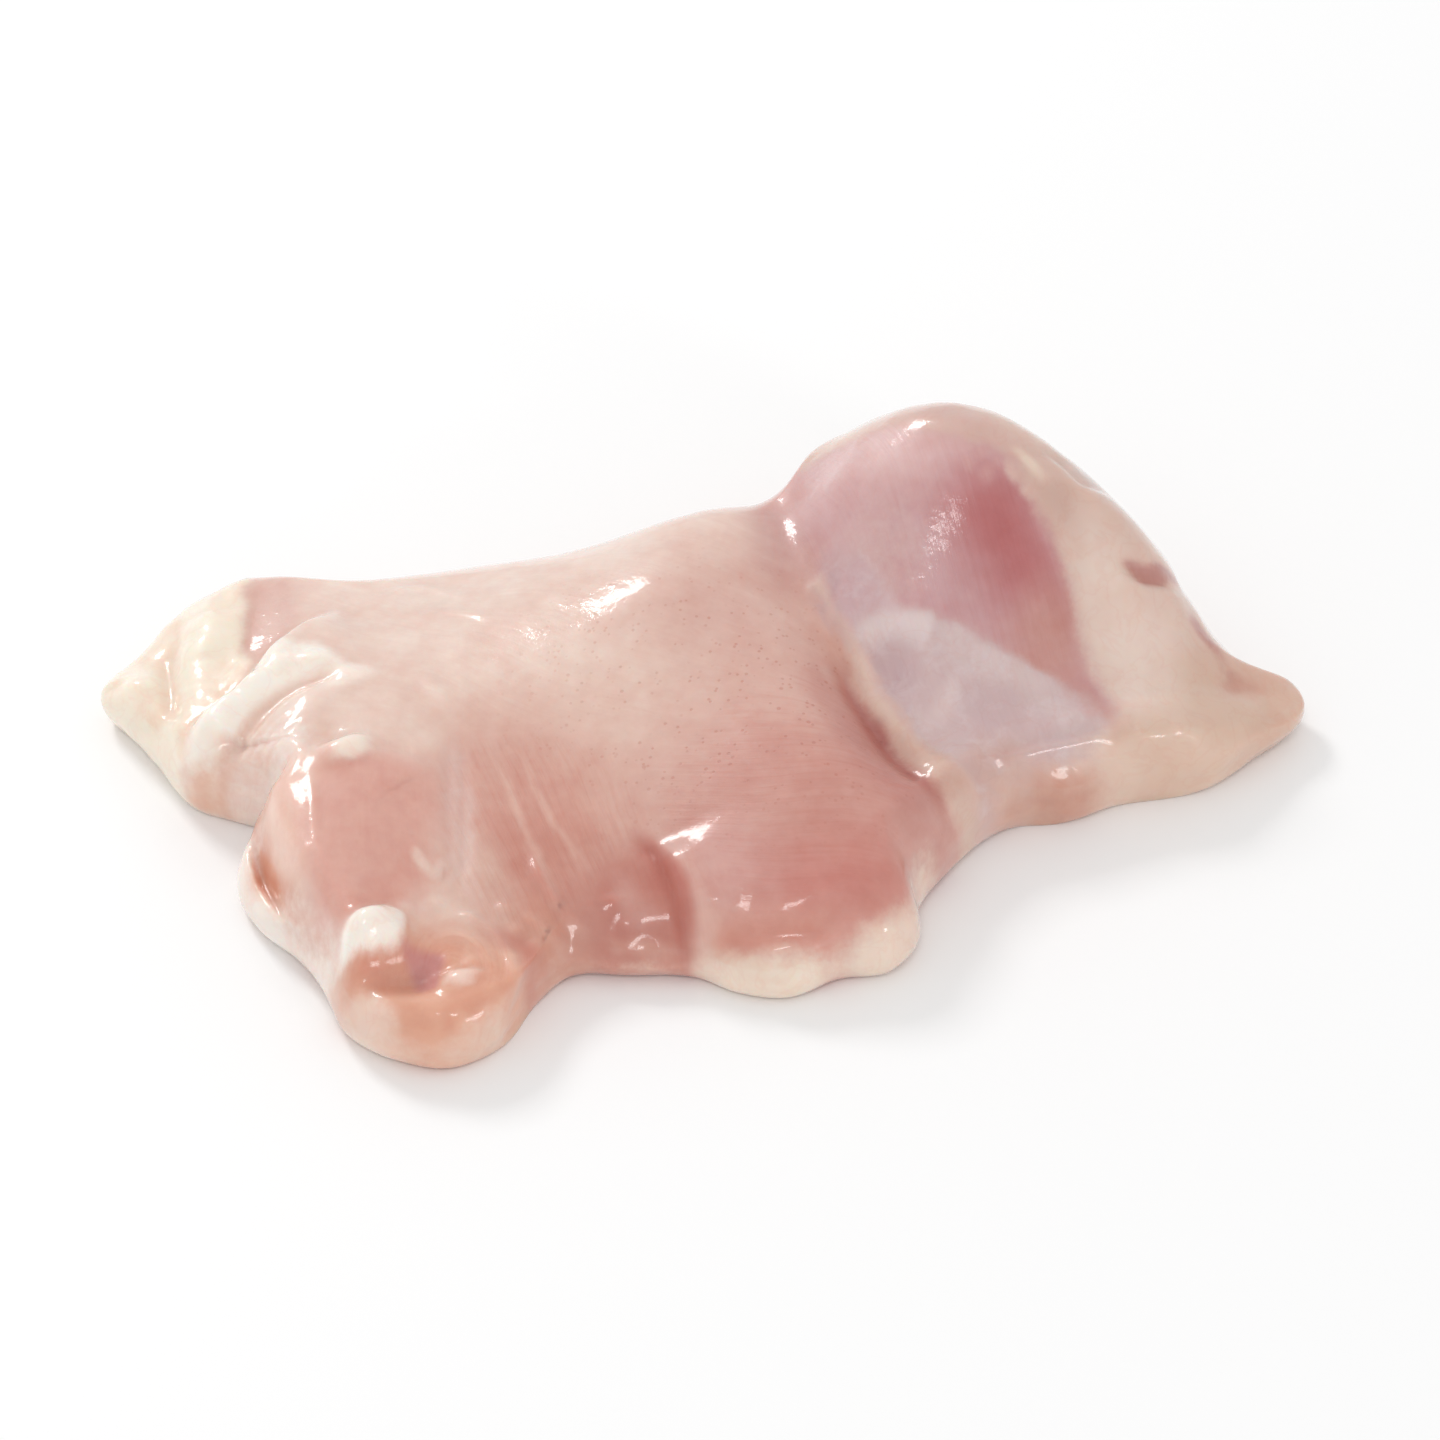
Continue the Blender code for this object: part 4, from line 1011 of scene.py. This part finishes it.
# %% Masks and fibres
split = n.tree.nodes.new("ShaderNodeSeparateColor")
n.feed(split.inputs[0], n.attribute("tissue", "Color"))
fat_map, silver_map, pore_zone = split.outputs[0], split.outputs[1], split.outputs[2]
fibre_zone = n.attribute("tissue", "Alpha")
place = n.tree.nodes.new("ShaderNodeTexCoord").outputs["Object"]
weave = n.attribute("weave", "Vector")
threads = n.noise(n.mapping(weave, (1.6, 0.09, 1.0)), 1.0, 4.0, 0.65)
strands = n.noise(n.mapping(weave, (0.9, 0.05, 1.0)), 1.0, 2.0, 0.5)
edge_noise = n.math("MULTIPLY", n.math("SUBTRACT", n.noise(place, 700.0, 3.0, 0.6), 0.5), 0.5)


def ragged(mask):
    """A mask whose soft edge is shifted by noise, and a little steeper."""
    edge_only = n.math("MULTIPLY", mask, n.math("SUBTRACT", 1.0, mask))
    shifted = n.math("ADD", mask, n.math("MULTIPLY", n.math("MULTIPLY", edge_only, 4.0), edge_noise))
    return n.ramp(shifted, 0.05, 0.95)


fat_here = ragged(fat_map)
silver_here = ragged(silver_map)
covered = n.math("ADD", fat_here, silver_here, clamp=True)
print("nodes with the masks:", len(n.tree.nodes))

# %% [markdown]
# Colour is laid on in thin layers, as the tissues are: the muscle colour with
# cloudy mottling, where blood shows more or less, then darker fibres, whitish
# threads and wisps of connective tissue, and tiny pores. Each layer is the colour
# so far, tinted, and mixed in where its noise is high.

# %% Colour of the muscle
muscle = n.attribute("flesh", "Color")
cloud = n.noise(place, 150.0, 4.0, 0.55)
mottle = n.noise(place, 520.0, 3.0, 0.55)
clear = n.tinted(muscle, 1.02, 1.05, 1.055)
bloody = n.tinted(muscle, 0.965, 0.90, 0.89)
muscle = n.mix(n.ramp(cloud, 0.30, 0.75), clear, bloody)
darker = n.tinted(muscle, 0.985, 0.965, 0.96)
lighter = n.tinted(muscle, 1.015, 1.03, 1.03)
muscle = n.mix(n.ramp(mottle, 0.30, 0.70), darker, lighter)
dark_threads = n.math("MULTIPLY", n.ramp(threads, 0.42, 0.70), n.math("MULTIPLY", fibre_zone, 0.65))
muscle = n.mix(dark_threads, muscle, n.tinted(muscle, 0.94, 0.82, 0.80))
pale_threads = n.math("MULTIPLY", n.ramp(strands, 0.50, 0.75), n.math("MULTIPLY", fibre_zone, 0.30))
muscle = n.mix(pale_threads, muscle, n.tinted(muscle, 1.06, 1.14, 1.16))
wisps = n.noise(n.mapping(weave, (0.45, 0.10, 1.0)), 1.0, 5.0, 0.65, 0.8)
pale_wisps = n.math("MULTIPLY", n.ramp(wisps, 0.46, 0.70), 0.35)
muscle = n.mix(pale_wisps, muscle, n.tinted(muscle, 1.05, 1.13, 1.14))
fine_pores = n.ramp(n.cells(place, 950.0), 0.14, 0.26, 1.0, 0.0)
some = n.ramp(n.noise(place, 300.0, 1.0), 0.40, 0.55)
large_pores = n.ramp(n.cells(place, 300.0), 0.06, 0.10, 1.0, 0.0)
any_pore = n.math("MAXIMUM", n.math("MULTIPLY", fine_pores, some), large_pores)
pore = n.math("MULTIPLY", any_pore, pore_zone)
muscle = n.mix(n.math("MULTIPLY", pore, 0.65), muscle, n.tinted(muscle, 0.84, 0.66, 0.61))
print("nodes with the muscle:", len(n.tree.nodes))

# %% [markdown]
# Silverskin is veiled and woven: clouds of milky white, and the fibres below it
# showing through. Fat is buttery in some lumps and rosy in others. Thin lines of
# blood run through both, where a noise crosses its middle value, and both lie over
# the muscle.

# %% Colour of fat and silverskin
MILKY = (0.76, 0.67, 0.67, 1.0)
cover_colour = n.attribute("cover", "Color")
veil_cloud = n.noise(place, 260.0, 5.0, 0.6, 0.6)
veil = n.math("MULTIPLY", n.ramp(veil_cloud, 0.45, 0.70), n.math("MULTIPLY", silver_here, 0.28))
cover_colour = n.mix(veil, cover_colour, MILKY)
weft = n.math("MULTIPLY", n.ramp(threads, 0.45, 0.70), n.math("MULTIPLY", silver_here, 0.30))
cover_colour = n.mix(weft, cover_colour, n.tinted(cover_colour, 0.93, 0.88, 0.90))
fat_cloud = n.noise(place, 330.0, 4.0, 0.6, 0.4)
buttery = n.math("MULTIPLY", n.ramp(fat_cloud, 0.45, 0.75), n.math("MULTIPLY", fat_here, 0.5))
cover_colour = n.mix(buttery, cover_colour, n.tinted(cover_colour, 0.99, 0.95, 0.90))
from_half = n.math("SUBTRACT", n.noise(place, 240.0, 3.0, 0.55, 0.6), 0.5)
marbling = n.ramp(n.math("ABSOLUTE", from_half), 0.0, 0.05, 1.0, 0.0)
marbled = n.tinted(cover_colour, 0.97, 0.86, 0.84)
cover_colour = n.mix(n.math("MULTIPLY", marbling, 0.35), cover_colour, marbled)
slow_cloud = n.ramp(n.noise(place, 120.0, 3.0, 0.55, 0.5), 0.42, 0.66)
rosy_fat = n.math("MULTIPLY", slow_cloud, n.math("MULTIPLY", fat_here, 0.6))
cover_colour = n.mix(rosy_fat, cover_colour, n.tinted(cover_colour, 0.97, 0.90, 0.88))
n.feed(n.shader.inputs["Base Color"], n.mix(covered, muscle, cover_colour))
print("nodes with fat and silverskin:", len(n.tree.nodes))

# %% [markdown]
# The relief that is too fine for the mesh goes into bump, with its height in
# millimetres: threads, pores, and the ripples of the wet film. The film has its
# own bump, because it lies over the meat and levels the finest of it.

# %% Bump of the meat and of the film
def bump(height_mm):
    """A bump whose height is given in millimetres."""
    node = n.tree.nodes.new("ShaderNodeBump")
    n.feed(node.inputs["Height"], height_mm)
    n.feed(node.inputs["Distance"], MM)
    n.feed(node.inputs["Strength"], 1.0)
    return node.outputs[0]


thread_relief = n.math("MULTIPLY", n.math("MULTIPLY", threads, fibre_zone), 0.08)
skin_relief = n.math("MULTIPLY", n.noise(place, 900.0, 3.0, 0.6), 0.04)
pore_relief = n.math("MULTIPLY", pore, -0.03)
fine_relief = n.math("ADD", thread_relief, n.math("ADD", skin_relief, pore_relief))
n.feed(n.shader.inputs["Normal"], bump(fine_relief))
film_zone = n.attribute("film", "Fac")
ripples = n.math("MULTIPLY", n.noise(place, 800.0, 3.0, 0.55, 0.3), 0.042)
slow_ripples = n.math("MULTIPLY", n.noise(place, 300.0, 2.0, 0.5), 0.14)
film_threads = n.math("MULTIPLY", thread_relief, 0.5)
film_height = n.math("ADD", n.math("ADD", ripples, slow_ripples), film_threads)
n.feed(n.shader.inputs["Coat Normal"], bump(n.math("MULTIPLY", film_height, film_zone)))
print("nodes with the bumps:", len(n.tree.nodes))

# %% [markdown]
# Numbers that are the same all over are set straight on the shader. The scatter
# distance is longest for red, which is why thin edges of meat glow warm.

# %% Shine and translucency
for socket, value in {
    "Roughness": 0.36,
    "IOR": 1.38,
    "Subsurface Weight": 0.45,
    "Subsurface Scale": 0.0028,
    "Subsurface Radius": (1.0, 0.42, 0.28),
    "Coat Weight": 1.0,
    "Coat Roughness": 0.095,
    "Coat IOR": 1.36,
}.items():
    n.feed(n.shader.inputs[socket], value)
meat_mesh.materials.append(meat_material)
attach(meat, "root")
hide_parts("thigh")
print("material:", meat_material.name, "nodes:", len(n.tree.nodes))

# %% [markdown]
# ## Floor, lamps and camera
#
# The photograph is taken on white, in soft studio light. A pale floor and a white
# sky give the even light, which fills every crease a little.

# %% Floor and sky
FLOOR_HALF = 3.0
SKY_STRENGTH = 0.745
floor_mesh = bpy.data.meshes.new("floor")
floor_corners = [(FLOOR_HALF * side_x, FLOOR_HALF * side_y, 0.0)
                 for side_x, side_y in ((-1, -1), (1, -1), (1, 1), (-1, 1))]
floor_mesh.from_pydata(floor_corners, [], [(0, 1, 2, 3)])
floor = bpy.data.objects.new("floor", floor_mesh)
bpy.context.scene.collection.objects.link(floor)
floor_material = bpy.data.materials.new("pale_floor")
floor_nodes = Nodes(floor_material)
floor_nodes.feed(floor_nodes.shader.inputs["Base Color"], (0.97, 0.97, 0.97, 1.0))
floor_nodes.feed(floor_nodes.shader.inputs["Roughness"], 0.6)
floor_mesh.materials.append(floor_material)
world = bpy.data.worlds.new("white_studio")
world.use_nodes = True
sky = world.node_tree.nodes["Background"]
sky.inputs["Color"].default_value = (1.0, 1.0, 1.0, 1.0)
sky.inputs["Strength"].default_value = SKY_STRENGTH
bpy.context.scene.world = world
bpy.context.scene.view_settings.view_transform = "Standard"
print("floor, m:", 2.0 * FLOOR_HALF, "sky:", SKY_STRENGTH)

# %% [markdown]
# A wet surface mirrors a lamp where it faces halfway between the lamp and the
# camera. One softbox, behind on the left, makes the wet lights on every knob. Two
# small lamps wake up the near edges, which roll over towards the camera: one in
# front, and a low one on the right for the flap.

# %% Lamps: direction, distance, width, height, power
LAMPS = {
    "softbox_behind_left": ((-0.452, 0.645, 0.616), 1.2, 0.28, 0.28, 4.2),
    "small_lamp_in_front": ((-0.10, -0.54, 0.83), 1.3, 0.26, 0.15, 1.5),
    "low_lamp_on_the_right": ((0.62, -0.72, 0.28), 1.3, 0.26, 0.20, 1.7),
}
for name, (direction_to, distance, width, tall, power) in LAMPS.items():
    lamp = bpy.data.lights.new(name, "AREA")
    lamp.shape = "RECTANGLE"
    lamp.size = width
    lamp.size_y = tall
    lamp.energy = power
    holder = bpy.data.objects.new(name, lamp)
    aim_way = Vector(direction_to).normalized()
    holder.location = aim_way * distance
    holder.rotation_mode = "QUATERNION"
    holder.rotation_quaternion = aim_way.to_track_quat("Z", "Y")
    bpy.context.scene.collection.objects.link(holder)
print("lamps:", list(LAMPS))

# %% [markdown]
# The camera looks down at 42 degrees from half a metre away through a long
# lens, as a product photographer's would, so near and far parts keep their size.

# %% Camera
CAMERA_ELEVATION = 42.0
CAMERA_DISTANCE = 0.5
AIM = Vector((0.0023, -0.0008, 0.010))
camera = bpy.data.cameras.new("camera")
camera.lens = 100.0
camera.sensor_width = 36.0
camera_holder = bpy.data.objects.new("camera", camera)
tilt = np.radians(CAMERA_ELEVATION)
back = Vector((0.0, -np.cos(tilt), np.sin(tilt)))
camera_holder.location = AIM + back * CAMERA_DISTANCE
camera_holder.rotation_mode = "QUATERNION"
camera_holder.rotation_quaternion = back.to_track_quat("Z", "Y")
bpy.context.scene.collection.objects.link(camera_holder)
bpy.context.scene.camera = camera_holder
print("camera at, mm:", [round(value / MM) for value in camera_holder.location])
